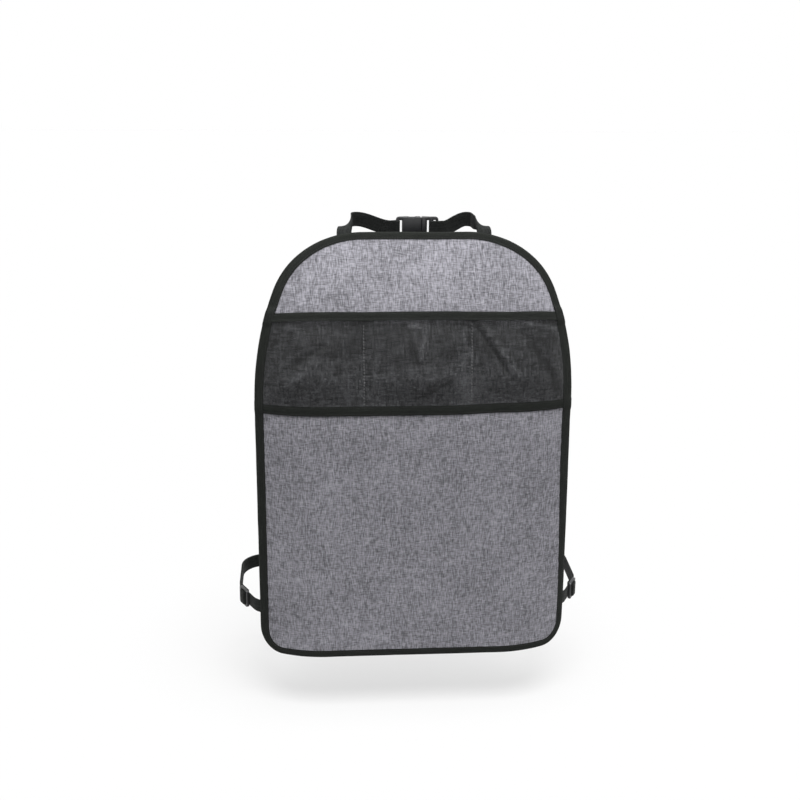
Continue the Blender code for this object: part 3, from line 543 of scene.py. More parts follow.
plasticLook = {
    "dark": (0.012, 0.0125, 0.0135),
    "light": (0.021, 0.0215, 0.023),
    "grain": {"Scale": 2600.0},
}


def blackPlastic():
    material, t, shader = newMaterial("blackMouldedPlastic", {})
    grain = effectOn(t, "grain", objectPlace(t), plasticLook["grain"])
    t.feed(shader.inputs, {"Base Color": t.mix(grain["Smudge"], plasticLook["dark"], plasticLook["light"]),
                           "Roughness": t.ramp(grain["Smudge"], 0.3, 0.7, 0.34, 0.46),
                           "Normal": t.bump(grain["Height"], 0.25, 0.0001)})
    return material


def sewingThread(name, dark, light):
    material, t, shader = newMaterial(name, {"Roughness": 0.6, "Specular IOR Level": 0.25})
    t.link(t.mix(t.noise(objectPlace(t), 3000.0), dark, light), shader.inputs["Base Color"])
    return material


looks = {
    "cloth": greyCloth(),
    "binding": wovenTape("blackEdgeTape", edgeTapeLook),
    "webbing": wovenTape("blackWebbing", webbingLook),
    "net": meshNet(),
    "plastic": blackPlastic(),
    "thread": sewingThread("blackThread", (0.010, 0.010, 0.011), (0.032, 0.032, 0.034)),
    "greyThread": sewingThread("greyThread", (0.10, 0.10, 0.104), (0.30, 0.30, 0.31)),
}
print("materials ready")

# stitching: one stitch is modelled once, then laid along lines
stitch = {"length": 0.0026, "gap": 0.0009, "radius": 0.00024, "inset": 0.0022}


def oneStitch():
    clearSelection()
    bpy.ops.mesh.primitive_uv_sphere_add(segments=6, ring_count=5, radius=1)
    obj = bpy.context.object
    editAll(obj)
    bpy.ops.transform.rotate(value=math.pi / 2, orient_axis="Y", center_override=(0, 0, 0))
    bpy.ops.transform.resize(value=(stitch["length"] / 2, stitch["radius"], stitch["radius"]),
                             center_override=(0, 0, 0))
    closeEdit()
    points = np.array([v.co[:] for v in obj.data.vertices])
    faces = [tuple(face.vertices) for face in obj.data.polygons]
    bpy.data.objects.remove(obj)
    return points, faces


stitchPoints, stitchFaces = oneStitch()


def alongLine(s, marks, places):
    return np.array([np.interp(s, marks, column) for column in places.T])


def stitchLines(name, lines, gap=stitch["gap"], girth=1.0):
    # each line is a list of (place, outward) pairs; the stitches lie half sunk along it
    allPoints, allFaces = [], []
    for line in lines:
        spots = np.array([place[:] for place, _ in line])
        outs = np.array([out[:] for _, out in line])
        marks = np.concatenate([[0], np.cumsum(np.linalg.norm(np.diff(spots, axis=0), axis=1))])
        step = stitch["length"] + gap
        for k in range(max(1, int(marks[-1] / step))):
            s = (k + 0.5) * step
            before, here, after = (alongLine(s + shift, marks, spots) for shift in (-0.001, 0, 0.001))
            along = (after - before) / np.linalg.norm(after - before)
            out = alongLine(s, marks, outs)
            out -= along * out.dot(along)
            out /= np.linalg.norm(out)
            across = np.cross(out, along)
            base = len(allPoints) * len(stitchPoints)
            allPoints.append(stitchPoints @ np.stack([along, across * girth, out * girth]) + here)
            allFaces += [tuple(base + index for index in face) for face in stitchFaces]
    mesh = bpy.data.meshes.new(name)
    mesh.from_pydata(np.concatenate(allPoints).tolist(), [], allFaces)
    obj = bpy.data.objects.new(name, mesh)
    bpy.context.scene.collection.objects.link(obj)
    return obj


def lineOn(points, lift, surface):
    # turns flat (u, v) points into (place, outward) pairs over one surface
    pairs = []
    for u, v in points:
        here = surface(u, v, lift if not callable(lift) else lift(u, v))
        deeper = surface(u, v, 0.0)
        pairs.append((here, (here - deeper).normalized()))
    return pairs


# the grey mat
panel = {
    "columns": 150,
    "rows": 190,
    "inset": 0.0005,
    "wave": 0.0007,
    "pucker": 0.00035,
    "puckerPitch": 0.017,
    "crowdAcross": 0.55,       # how much closer together the columns stand at the sides
    "crowdDown": 0.35,         # and the rows at the top and foot
}
edgeRing, _, edgeMarks = outline(0.004)


def edgeFacts(u, v):
    gaps = np.hypot(edgeRing[:, 0] - u, edgeRing[:, 1] - v)
    k = int(gaps.argmin())
    return float(gaps[k]), float(edgeMarks[k])


def matRelief(u, v):
    # broad slackness of the cloth, and small puckers where the tape is sewn on
    wave = ripple(u * 9, v * 7, 3.1) + 0.5 * ripple(u * 21, v * 17, 8.4)
    reach, along = edgeFacts(u, v)
    fade = smooth(1 - abs(reach - 0.016) / 0.020)
    phase = 2.0 * ripple(along * 30, 0, 5)
    pucker = math.sin(2 * math.pi * along / panel["puckerPitch"] + phase)
    inner = smooth((reach - tape["width"]) / 0.03)
    return panel["wave"] * wave * inner + panel["pucker"] * pucker * fade * smooth((reach - 0.009) / 0.004)


def makePanel():
    columns, rows = panel["columns"], panel["rows"]
    bend = math.pi / 2 * panel["crowdAcross"]
    across = [math.sin((2 * k / (columns - 1) - 1) * bend) / math.sin(bend) for k in range(columns)]
    flat = []
    for r in range(rows):
        even = r / (rows - 1)
        crowded = (1 - math.cos(math.pi * even)) / 2
        v = mat["height"] * (even + (crowded - even) * panel["crowdDown"])
        flat += [(share * (halfWidth(v) - panel["inset"]), v) for share in across]

    def place(c, r):
        u, v = flat[r * columns + c]
        return onMat(u, v, matRelief(u, v))

    obj = gridSheet("greyMat", columns, rows, place, lambda c, r: flat[r * columns + c])
    thicken(obj, 2 * mat["half"])
    dress(obj, looks["cloth"], ("mat_panel",))
    return obj


greyMat = makePanel()
print("mat made")

# the tape folded over the edge
cover = {"rise": 0.0035, "past": 0.004, "mesh": 0.0006, "top": 0.0016, "foot": 0.0007}


def coverLift(v):
    # extra height of the tape's front leg where it passes over the pocket's layers
    rise = cover["rise"]
    belowTop = smooth((pocket["top"] + cover["past"] + rise - v) / rise)
    aboveBottom = smooth((v - pocket["bottom"] + rise) / rise)
    atTop = belowTop * smooth((v - netMouth + 2 * rise) / rise)
    atFoot = aboveBottom * smooth((netFoot + rise - v) / rise)
    return cover["mesh"] * belowTop * aboveBottom + cover["top"] * atTop + cover["foot"] * atFoot


def legShift(v, away, out):
    # the front and back legs are a little wider along the sides and slimmer along the top and foot
    wider = tape["wider"]
    if away[0] > 0:
        wider = tape["widerRight"] * smooth((v - 0.08) / 0.2) * smooth((0.53 - v) / 0.08)
    return (tape["slimmer"] * away[1] ** 2 - wider * away[0] ** 2) * smooth(-out / 0.004)


def makeBinding():
    ring, away, marks = outline(0.0035)
    face = mat["half"] + tape["thick"] / 2
    width = tape["width"]
    front = [(-width, 0.00002), (-width + 0.0008, 0.0001), (-width + 0.0022, -0.00008),
             (-width + 0.0042, 0.00025), (-0.0035, 0.0003), (-0.0012, 0.0002)]
    nose = [(0.0002, -0.0001, 0.95), (0.0009, -0.0002, 0.55), (0.0011, 0.0, 0.0), (0.0009, 0.0002, -0.55),
            (0.0002, 0.0001, -0.95)]
    profile = [(out, 1.0, lift) for out, lift in front]
    profile += [(out, share, lift) for out, lift, share in nose]
    profile += [(out, -1.0, -lift) for out, lift in reversed(front)]
    spread = [0.0]
    for (a, _, _), (b, _, _) in zip(profile, profile[1:]):
        spread.append(spread[-1] + max(abs(b - a), 0.0006))
    rows = len(ring) + 1

    def place(c, r):
        k = r % len(ring)
        out, share, lift = profile[c]
        out += legShift(ring[k][1], away[k], out)
        u, v = ring[k] + away[k] * (out + 0.0003 * ripple(marks[k] * 18, 0.4, 9.0))
        if abs(share) > 0.5:
            lift += 0.00022 * ripple(marks[k] * 45, c * 0.21, 2.0)
        if share > 0.5:
            lift += coverLift(v) * share
        return onMat(float(u), float(v), face * share + lift)

    def uvOf(c, r):
        return marks[-1] + marks[1] if r == len(ring) else marks[r], spread[c]

    obj = gridSheet("edgeTape", len(profile), rows, place, uvOf, closed=True)
    thicken(obj, tape["thick"])
    dress(obj, looks["binding"], ("edge_binding",))

    lines = []
    inset = -width + stitch["inset"]
    for side in (1, -1):
        line = []
        for k in [*range(len(ring)), 0]:
            reach = inset + legShift(ring[k][1], away[k], inset)
            u, v = (float(part) for part in ring[k] + away[k] * reach)
            rise = mat["half"] + tape["thick"] + 0.00002 + (coverLift(v) if side > 0 else 0)
            outward = side * (onMat(u, v, 0.001) - onMat(u, v, 0)).normalized()
            line.append((onMat(u, v, side * rise), outward))
        lines.append(line)
    dress(stitchLines("edgeStitching", lines), looks["thread"])
    return obj


edgeTape = makeBinding()
print("edge tape made")

# the mesh pocket: three compartments, with the creases that the net has when empty
folds = (
    # from (u, v), to (u, v), half width, lift, stretch and shade: the holes are wider where the net is
    # stretched, and the same value paints the yarn darker along slack valleys and lighter along tight ridges,
    # as painted shade and painted highlight
    ((0.076, 0.490), (0.094, 0.462), 0.0026, -0.0011, -1.1),
    ((0.094, 0.462), (0.130, 0.408), 0.0036, -0.0013, -0.9),
    ((0.087, 0.488), (0.139, 0.412), 0.0046, 0.0011, 0.45),
    ((0.140, 0.478), (0.203, 0.386), 0.0070, -0.0016, -0.8),
    ((0.148, 0.487), (0.192, 0.480), 0.0045, 0.0008, 0.8),
    ((0.196, 0.484), (0.198, 0.462), 0.0030, 0.0003, 0.7),
    ((0.085, 0.387), (0.128, 0.387), 0.0040, 0.0006, 0.6),
    ((-0.010, 0.486), (0.016, 0.484), 0.0050, 0.0008, 0.9),
    ((0.010, 0.484), (0.006, 0.437), 0.0040, 0.0012, 1.2),
    ((-0.018, 0.489), (0.003, 0.430), 0.0036, -0.0009, -0.7),
    ((-0.004, 0.385), (0.048, 0.411), 0.0034, -0.0013, -1.2),
    ((0.000, 0.398), (0.046, 0.424), 0.0050, 0.0009, 0.4),
    ((0.064, 0.480), (0.064, 0.385), 0.0065, 0.0004, 0.75),
    ((0.066, 0.468), (0.074, 0.440), 0.0030, 0.0, 0.6),
    ((-0.0915, 0.418), (-0.0915, 0.381), 0.0022, 0.0, 1.3),
    ((-0.165, 0.431), (-0.120, 0.462), 0.0046, -0.0012, -0.7),
    ((-0.175, 0.401), (-0.132, 0.436), 0.0048, 0.0012, 0.8),
    ((-0.206, 0.392), (-0.200, 0.388), 0.0060, 0.0004, 1.0),
    ((-0.203, 0.485), (-0.152, 0.481), 0.0045, 0.0006, 0.5),
    ((-0.120, 0.389), (-0.060, 0.384), 0.0040, -0.0008, -0.6),
    ((-0.108, 0.470), (-0.104, 0.425), 0.0060, 0.0004, -0.5),
    ((0.026, 0.480), (0.036, 0.440), 0.0060, 0.0006, -0.4),
    # a painted shadow: a slack, darker line on the net just under the top tape, with no crease
    ((-0.210, 0.4922), (0.210, 0.4922), 0.0009, 0.0, -1.2),
)
net = {"columns": 260, "rows": 84, "thick": 0.0003}
netBase = mat["half"] + 0.0006
netOverTape = netBase + 0.0009


def pocketSide(v):
    return halfWidth(v) - tape["width"] + tape["under"]


def compartments(v):
    side = halfWidth(v) - tape["width"] - pocket["ease"]
    left, right = pocket["seams"]
    return ((-side, left), (left, right), (right, side))


def onPocket(u, v, lift):
    # the flat place (u, v) on the pocket, whose edges hang a little out of true
    share = smooth((v - pocket["bottom"]) / (pocket["top"] - pocket["bottom"]))
    sag = pocket["sag"] + pocket["dip"] * math.exp(-(((u - pocket["dipAt"]) / pocket["dipWidth"]) ** 2))
    start, run = pocket["footTurn"]
    foot = pocket["footDrop"] * (2 * smooth((u - start) / run) - 1)
    return onMat(u, v - sag * share + foot * (1 - share), lift)


def foldShare(u, v, start, end, half):
    # 1 along the middle of a fold, and 0 past its sides and ends
    run = Vector((end[0] - start[0], end[1] - start[1]))
    share = ((u - start[0]) * run.x + (v - start[1]) * run.y) / run.length_squared
    spare = half / run.length
    if not -spare < share < 1 + spare:
        return 0.0
    off = ((u - start[0]) * run.y - (v - start[1]) * run.x) / run.length
    ends = smooth((share + spare) / (2 * spare)) * smooth((1 + spare - share) / (2 * spare))
    return math.exp(-((off / half) ** 2)) * ends


def netStretchAndShade(u, v):
    # the net is tighter towards its foot, where its holes open wider and its yarn is painted lighter to even
    # out the shade that the overhead light leaves on the lower part of each bulge
    cloud = 0.22 * ripple(u * 30, v * 42, 7.7)
    tighterAndPaintedLighter = 0.9 * smooth((pocket["top"] - 0.01 - v) / 0.11) - 0.45
    return cloud + tighterAndPaintedLighter + sum(stretchAndShade * foldShare(u, v, start, end, half)
                                 for start, end, half, _, stretchAndShade in folds)


def netLift(u, v, creased=True):
    # the net's height over the mat's middle: each compartment bulges, and creases run over it
    lift = netBase + smooth((v - netMouth + 0.008) / 0.006) * (netOverTape - netBase)
    depth = pocket["mouth"] + smooth((netMouth - v) / pocket["ramp"]) * (pocket["depth"] - pocket["mouth"])
    for low, high in compartments(v):
        if low < u < high:
            across = abs(2 * (u - low) / (high - low) - 1)
            room = (1 - across**3) * smooth((v - netFoot) / pocket["ramp"])
            lift += depth * room
            if creased:
                below = smooth((netMouth - v) / 0.012)
                slack = ripple(u * 26, v * 34, 1.7)
                slack += 0.5 * ripple(u * 60, v * 75, 4.2)
                lift += 0.0008 * slack * room * below
                for start, end, half, height, _ in folds:
                    lift += height * foldShare(u, v, start, end, half) * min(1.0, room * 1.6) * below
    return max(lift, netBase)


def makeNet():
    columns, rows = net["columns"], net["rows"]
    low, high = pocket["bottom"] + 0.003, pocket["top"]
    flat = []
    for r in range(rows):
        v = low + (high - low) * r / (rows - 1)
        side = pocketSide(v)
        flat += [(side * (2 * c / (columns - 1) - 1), v) for c in range(columns)]

    def place(c, r):
        u, v = flat[r * columns + c]
        return onPocket(u, v, netLift(u, v))

    obj = gridSheet("netPocket", columns, rows, place, lambda c, r: flat[r * columns + c])
    stretchAndShade = obj.data.attributes.new("stretchAndShade", "FLOAT", "POINT")
    stretchAndShade.data.foreach_set("value", [netStretchAndShade(u, v) for u, v in flat])
    thicken(obj, net["thick"])
    dress(obj, looks["net"], ("mesh_pocket",), angle=180)
    return obj


netPocket = makeNet()
print("net pocket made")


def makeBand(name, columns, profile, liftAt, spread, node):
    # a tape across the pocket: its profile holds heights, and offsets from the lift that liftAt gives
    def spot(c, r):
        v, off = profile[r]
        inside = min(v, pocket["top"])
        u = pocketSide(inside) * (2 * c / (columns - 1) - 1)
        return u, v, liftAt(u, inside) + off

    obj = gridSheet(name, columns, len(profile), lambda c, r: onPocket(*spot(c, r)),
                    lambda c, r: (spot(c, r)[0], spread[r]))
    thicken(obj, tape["thick"])
    dress(obj, looks["binding"], (node,))
    return obj


def makeTopBand():
    low, top = netMouth, pocket["top"]
    gap = net["thick"] / 2 + tape["thick"] / 2
    profile = [(low, gap + 0.0005), (low + 0.0008, gap + 0.0004), (low + 0.0022, gap),
               (low + 0.0050, gap + 0.00025), (top - 0.0030, gap + 0.0003), (top - 0.0004, gap + 0.0001),
               (top + 0.0006, gap * 0.5), (top + 0.0008, 0.0), (top + 0.0006, -gap * 0.5),
               (top - 0.0004, -gap - 0.0001), (low + 0.0022, -gap), (low, -gap * 0.8)]
    spread = [0.0]
    for (a, x), (b, y) in zip(profile, profile[1:]):
        spread.append(spread[-1] + math.hypot(b - a, y - x))
    return makeBand("pocketTopTape", 241, profile, lambda u, v: netLift(u, v, False), spread,
                    "pocket_top_band")


def makeBottomBand():
    low, high = pocket["bottom"], netFoot
    lift = netBase + net["thick"] / 2 + tape["thick"] / 2
    profile = [(low, -0.00025), (low + 0.0006, 0.00005), (low + 0.0020, -0.00012), (low + 0.0045, 0.0002),
               ((low + high) / 2, 0.0003), (high - 0.0045, 0.0002), (high - 0.0020, -0.00012),
               (high - 0.0006, 0.00005), (high, -0.00015)]

    def liftAt(u, v):
        return lift + 0.0002 * ripple(u * 40, v * 30, 6.0)

    return makeBand("pocketBottomTape", 221, profile, liftAt, [v for v, _ in profile], "pocket_bottom_band")


pocketTopTape = makeTopBand()
pocketBottomTape = makeBottomBand()


def bandLine(v, lift):
    side = halfWidth(v) - tape["width"] - 0.001
    return lineOn([(side * (k / 60 - 1), v) for k in range(121)], lift, onPocket)


def overNet(above):
    # heights over the outer face of the net without its creases
    return lambda u, v: netLift(u, v, False) + net["thick"] / 2 + above


def pocketStitching():
    onFoot = netBase + net["thick"] / 2 + tape["thick"] - 0.00005
    lines = [bandLine(netMouth + stitch["inset"], overNet(tape["thick"]))]
    lines += [bandLine(v, onFoot) for v in (pocket["bottom"] + 0.0020, netFoot - 0.0020)]
    dress(stitchLines("pocketStitching", lines), looks["thread"])
    seamLength = netMouth - netFoot - 0.002
    heights = [netFoot + 0.001 + seamLength * k / 40 for k in range(41)]
    seams = [lineOn([(seam, v) for v in heights], overNet(0.0008), onPocket) for seam in pocket["seams"]]
    thread = stitchLines("compartmentStitching", seams, gap=0.0016, girth=1.9)
    dress(thread, looks["greyThread"])


pocketStitching()
print("pocket tapes and stitching made")

# webbing: it takes the solids' ways, woven through the same slots
strap = {
    "width": 0.020,
    "thick": 0.0012,
    "gap": 0.0003,
    "bend": 0.0009,
    "sewn": 0.020,
    "converge": 0.0075,
    "step": 0.004,
    "planTurn": math.radians(7),       # the turn between stations in a strap's way and in its weave
    "weaveTurn": math.radians(15),
    "pull": 0.42,              # how far a twist runs on straight from its ends
}
topStrap = {"spacing": 0.189, "offset": 0.014, "sag": 0.012, "tail": 0.050, "sewnTail": 0.022}
lowerStrap = {
    "height": 0.065,
    "rise": 0.002,
    "firstRun": 0.012,
    "sliderRun": 0.050,
    "sliderPlace": 0.030,
    "heading": math.radians(61),
    "seatDepth": 0.180,
    "seatCorner": 0.035,
    "offset": 0.008,
    "sewnTail": 0.024,
}
buckle = {
    "socket": 0.035,
    "shoulder": 0.008,
    "slot": 0.0045,
    "bar": 0.004,
    "ladderBar": 0.0035,
    "barThick": 0.005,
}
slider = {"bar": 0.004, "slot": 0.006, "thick": 0.0035}
post = {"spacing": 0.152, "radius": 0.006}
layer = strap["thick"] + strap["gap"]
barSide = strap["gap"] + strap["thick"] / 2
barReach = buckle["barThick"] / 2 + barSide
behindTape = -(mat["half"] + 0.0005 + 0.0007 + barSide)
up = Vector((0, 0, 1))


def roundedPath(corners, step):
    # (x, y, radius) corners to a fine line of (point, heading)
    places = [Vector(corner[:2]) for corner in corners]
    line = [(places[0], (places[1] - places[0]).normalized())]
    for before, here, after, corner in zip(places, places[1:], places[2:], corners[1:]):
        arrive, leave = (here - before).normalized(), (after - here).normalized()
        turn = arrive.angle_signed(leave)
        if abs(turn) < 1e-6:
            continue
        room = 0.49 * min((here - before).length, (after - here).length)
        reach = min(corner[2] * math.tan(abs(turn) / 2), room)
        radius = reach / math.tan(abs(turn) / 2)
        side = math.copysign(1, -turn)
        centre = here - arrive * reach + side * radius * Vector((-arrive.y, arrive.x))
        count = max(1, math.ceil(abs(turn) / step))
        for k in range(count + 1):
            heading = Matrix.Rotation(side * abs(turn) * k / count, 2) @ arrive
            line.append((centre - side * radius * Vector((-heading.y, heading.x)), heading))
    line.append((places[-1], (places[-1] - places[-2]).normalized()))
    return line


class Course:
    # a strap's way in plan, and its height along it
    def __init__(self, corners, height):
        self.line = roundedPath(corners, strap["planTurn"])
        self.height = height
        self.along = [0.0]
        for (a, _), (b, _) in zip(self.line, self.line[1:]):
            self.along.append(self.along[-1] + (b - a).length)

    def place(self, s, h=0.0):
        last = len(self.along) - 2
        k = max(0, min(last, sum(mark <= s for mark in self.along) - 1))
        share = (s - self.along[k]) / max(1e-9, self.along[k + 1] - self.along[k])
        (a, headA), (b, headB) = self.line[k], self.line[k + 1]
        heading = headA.lerp(headB, min(1.0, max(0.0, share))).normalized()
        spot = a.lerp(b, share)
        level = self.height(s, spot)
        spot = spot + h * Vector((heading.y, -heading.x))
        return Vector((spot.x, spot.y, level))

    def station(self, s, h):
        way = (self.place(s + 0.001) - self.place(s - 0.001)).normalized()
        return self.place(s, h), (up - way * up.dot(way)).normalized()

    def follow(self, weave):
        stations = []
        for (s0, h0), (s1, h1) in zip(weave, weave[1:]):
            count = max(1, math.ceil(abs(s1 - s0) / strap["step"]))
            shares = {k / count for k in range(count)}
            shares |= {(mark - s0) / (s1 - s0) for mark in self.along
                       if min(s0, s1) + 1e-4 < mark < max(s0, s1) - 1e-4}
            stations += [self.station(s0 + (s1 - s0) * share, h0 + (h1 - h0) * share)
                         for share in sorted(shares)]
        stations.append(self.station(*weave[-1]))
        return stations


def weaveLine(corners):
    return [tuple(point) for point, _ in roundedPath(corners, strap["weaveTurn"])]


def barLoop(near, far):
    turn = far + barSide
    return [
        (near - strap["converge"], layer / 2, 0.006),
        (near - barSide / 2, barReach, 0.004),
        (turn, barReach, strap["bend"]),
        (turn, -barReach, strap["bend"]),
        (near - barSide / 2, -barReach, 0.004),
        (near - strap["converge"], -layer / 2, 0.006),
    ]


def ladderWeave(end):
    over = buckle["barThick"] / 2 + barSide
    under = over + layer
    innerBar = end - buckle["shoulder"] - buckle["slot"]
    outerSlot = innerBar - buckle["ladderBar"]
    plugEnd = outerSlot - buckle["slot"] - buckle["ladderBar"]
    bend = strap["bend"]
    return [
        (plugEnd - 0.018, -layer, 0.010),
        (plugEnd - 0.003, -under, 0.010),
        (innerBar + barSide, -under, bend),
        (innerBar + barSide, over, bend),
        (outerSlot - barSide, over, bend),
        (outerSlot - barSide, -over, bend),
        (plugEnd - 0.003, -over, 0.010),
        (plugEnd - 0.018, 0.0, 0.010),
    ]


sliderOut = slider["thick"] / 2 + barSide + layer / 2


def sliderCrossing(s):
    top = sliderOut + slider["thick"] / 2 + barSide + layer
    foot = slider["bar"] / 2 + slider["slot"] * 0.75
    crest = slider["bar"] / 2 + slider["slot"] * 0.4
    bend = strap["bend"]
    return [(s - foot, layer / 2, bend), (s - crest, top, bend), (s + crest, top, bend),
            (s + foot, layer / 2, bend)]


def sliderLoop(s):
    side = slider["bar"] / 2 + barSide
    top = sliderOut + slider["thick"] / 2 + barSide
    bend = strap["bend"]
    return [(s + side, -layer / 2, bend), (s + side, top, bend), (s - side, top, bend),
            (s - side, -1.5 * layer, bend), (s + side + lowerStrap["sewnTail"], -1.5 * layer, 0.0)]


loopY = post["radius"] + barSide
loopX = post["spacing"] / 2 + post["radius"] + barSide


def topCourse(matingX, buckleEnd):
    start, stop = post["spacing"] / 2, buckleEnd + strap["converge"]

    def height(_, spot):
        return -topStrap["sag"] * smooth((start - abs(spot.x)) / (start - stop))

    return Course(((loopX + 0.0008, -0.014, 0), (loopX, loopY, 0.0075), (matingX, loopY, 0)), height)


def twistBetween(start, startHeading, startAcross, end, endHeading, endAcross, steps):
    reach = (end - start).length * strap["pull"]
    stations = []
    for k in range(1, steps):
        t = k / steps
        a, b = start + startHeading * reach, end - endHeading * reach
        point = start * (1 - t) ** 3 + a * 3 * t * (1 - t) ** 2 + b * 3 * t * t * (1 - t) + end * t**3
        way = ((a - start) * (1 - t) ** 2 + (b - a) * 2 * t * (1 - t) + (end - b) * t * t).normalized()
        across = startAcross.lerp(endAcross, smooth(t))
        stations.append((point, (across - way * across.dot(way)).normalized()))
    return stations


def topStations(matingX, buckleEnd, weave):
    u = topStrap["spacing"] / 2
    sewn = [onSeat(u, mat["height"] - strap["sewn"] * (1 - k / 5), behindTape) for k in range(6)]
    first = [(point, Vector((1, 0, 0))) for point in sewn]
    course = topCourse(matingX, buckleEnd)
    length = course.along[-1]
    corners = [(0.0, 0.0, 0.0)] + [(length - s, h, r) for s, h, r in weave]
    rest = [(point, -across) for point, across in course.follow(weaveLine(corners))]
    rise = (sewn[-1] - sewn[-2]).normalized()
    heading = (rest[1][0] - rest[0][0]).normalized()
    return first + twistBetween(sewn[-1], rise, first[-1][1], rest[0][0], heading, rest[0][1], 30) + rest


def lowerHeight(s, _):
    straight = 0.7
    slope = 1 / (straight + (1 - straight) / 2)
    share = min(1.0, s / (lowerStrap["seatDepth"] - lowerStrap["seatCorner"]))
    climb = slope * share
    if share > straight:
        climb -= slope * (share - straight) ** 2 / (2 * (1 - straight))
    return lowerStrap["height"] - strapZ + lowerStrap["rise"] * climb


def lowerCourse(matingX):
    edge = onSeat(mat["width"] / 2, lowerStrap["height"], behindTape - layer / 2).xy
    turn = wrapAngle(mat["width"] / 2)
    first = edge + Vector((math.cos(turn), math.sin(turn))) * lowerStrap["firstRun"]
    away = Vector((math.cos(lowerStrap["heading"]), math.sin(lowerStrap["heading"])))
    second = first + away * lowerStrap["sliderRun"]
    front = lowerStrap["seatDepth"] - postY
    return Course(((*edge, 0), (*first, 0.020), (*second, 0.025), (second.x, front, lowerStrap["seatCorner"]),
                   (matingX, front, 0)), lowerHeight)


sliderAt = lowerStrap["firstRun"] + lowerStrap["sliderPlace"]


def lowerStations(matingX, barNear, barFar):
    course = lowerCourse(matingX)
    length = course.along[-1]
    corners = [(0.0, layer / 2, 0.0)] + sliderCrossing(sliderAt)
    corners += barLoop(length - barNear, length - barFar) + sliderLoop(sliderAt)
    woven = course.follow(weaveLine(corners))
    sewn = [(onSeat(mat["width"] / 2 - strap["sewn"] * (1 - k / 5), lowerStrap["height"], behindTape),
             woven[0][1]) for k in range(5)]
    return sewn + woven


def mirrored(stations):
    return [(Vector((-p.x, p.y, p.z)), Vector((-b.x, b.y, b.z))) for p, b in stations]


def distances(stations):
    marks = [0.0]
    for (a, _), (b, _) in zip(stations, stations[1:]):
        marks.append(marks[-1] + (b - a).length)
    return marks


def facing(stations, k):
    before, after = stations[max(0, k - 1)][0], stations[min(len(stations) - 1, k + 1)][0]
    return (after - before).normalized().cross(stations[k][1]).normalized()


def makeWebbing(name, stations, node):
    # the section is flat with rounded selvedges
    half, face = strap["width"] / 2, strap["thick"] / 2
    edge = [(1.0, 0.0), (0.985, 0.62), (0.945, 0.96), (0.88, 1.0)]
    flatAcross = (0.6, 0.2, -0.2, -0.6)
    top = [(a * half, b * face) for a, b in edge] + [(a * half, face * 0.97) for a in flatAcross]
    top += [(-a * half, b * face) for a, b in reversed(edge[1:])]
    section = top + [(-a, -b) for a, b in top]
    section.append(section[0])
    marks = distances(stations)
    normals = [facing(stations, k) for k in range(len(stations))]

    def place(c, r):
        a, b = section[c]
        point, across = stations[r]
        return point + across * a + normals[r] * b

    obj = gridSheet(name, len(section), len(stations), place, lambda c, r: (marks[r], section[c][0]),
                    closed=True)
    editAll(obj)
    bpy.ops.mesh.select_all(action="DESELECT")
    bpy.ops.mesh.select_non_manifold()       # the strap's two open ends
    bpy.ops.mesh.edge_face_add()
    bpy.ops.mesh.select_all(action="SELECT")
    bpy.ops.mesh.normals_make_consistent(inside=False)
    closeEdit()
    dress(obj, looks["webbing"], (node,), angle=60)
    return obj


def boxStitch(stations, first, last, away):
    # a sewn box with its cross, on the side of the webbing that faces away
    marks = distances(stations)
    reach = strap["width"] / 2 - stitch["inset"]

    def spot(s, a):
        k = min(len(stations) - 2, max(0, sum(mark <= s for mark in marks) - 1))
        share = (s - marks[k]) / max(1e-9, marks[k + 1] - marks[k])
        point = stations[k][0].lerp(stations[k + 1][0], share)
        across = stations[k][1].lerp(stations[k + 1][1], share)
        out = facing(stations, k)
        out = out if out.dot(away) > 0 else -out
        return point + across * a + out * (strap["thick"] / 2), out

    corners = [(first, -reach), (last, -reach), (last, reach), (first, reach), (first, -reach)]
    ways = list(zip(corners, corners[1:])) + [(corners[0], corners[2]), (corners[1], corners[3])]
    return [[spot(s0 + (s1 - s0) * k / 12, a0 + (a1 - a0) * k / 12) for k in range(13)]
            for (s0, a0), (s1, a1) in ways]


def makeStraps():
    socketBar = [(-s, h, r) for s, h, r in barLoop(-buckle["socket"], -buckle["socket"] + buckle["bar"])]
    socketBar.append((buckle["socket"] + topStrap["sewnTail"], -layer / 2, 0.0))
    offset = topStrap["offset"]
    topLeft = mirrored(topStations(-offset, buckle["socket"] - offset, socketBar))
    ladder = [(-s, h, r) for s, h, r in ladderWeave(0.0)] + [(topStrap["tail"], 0.0, 0.0)]
    ladderEnd = offset + buckle["shoulder"] + 2 * (buckle["slot"] + buckle["ladderBar"])
    topRight = topStations(offset, ladderEnd, ladder)
    plugBar = buckle["shoulder"] + buckle["slot"]
    lowerLeft = mirrored(lowerStations(-lowerStrap["offset"], buckle["socket"],
                                       buckle["socket"] - buckle["bar"]))
    lowerRight = lowerStations(lowerStrap["offset"], plugBar + buckle["bar"], plugBar)
    back = Vector((0, 1, 0))
    lines = []
    for name, stations, node in (("topWebbingLeft", topLeft, "top_strap_left"),
                                 ("topWebbingRight", topRight, "top_strap_right"),
                                 ("lowerWebbingLeft", lowerLeft, "lower_strap_left"),
                                 ("lowerWebbingRight", lowerRight, "lower_strap_right")):
        makeWebbing(name, stations, node)
        lines += boxStitch(stations, 0.002, 0.018, back)
        total = distances(stations)[-1]
        if name == "topWebbingLeft":
            lines += boxStitch(stations, total - 0.017, total - 0.003, -back)
        if name.startswith("lower"):
            side = 1 if name.endswith("Right") else -1
            lines += boxStitch(stations, total - 0.021, total - 0.004, Vector((-side, 0, 0)))
    thread = stitchLines("webbingStitching", lines)
    dress(thread, looks["thread"])


makeStraps()
print("webbing made")

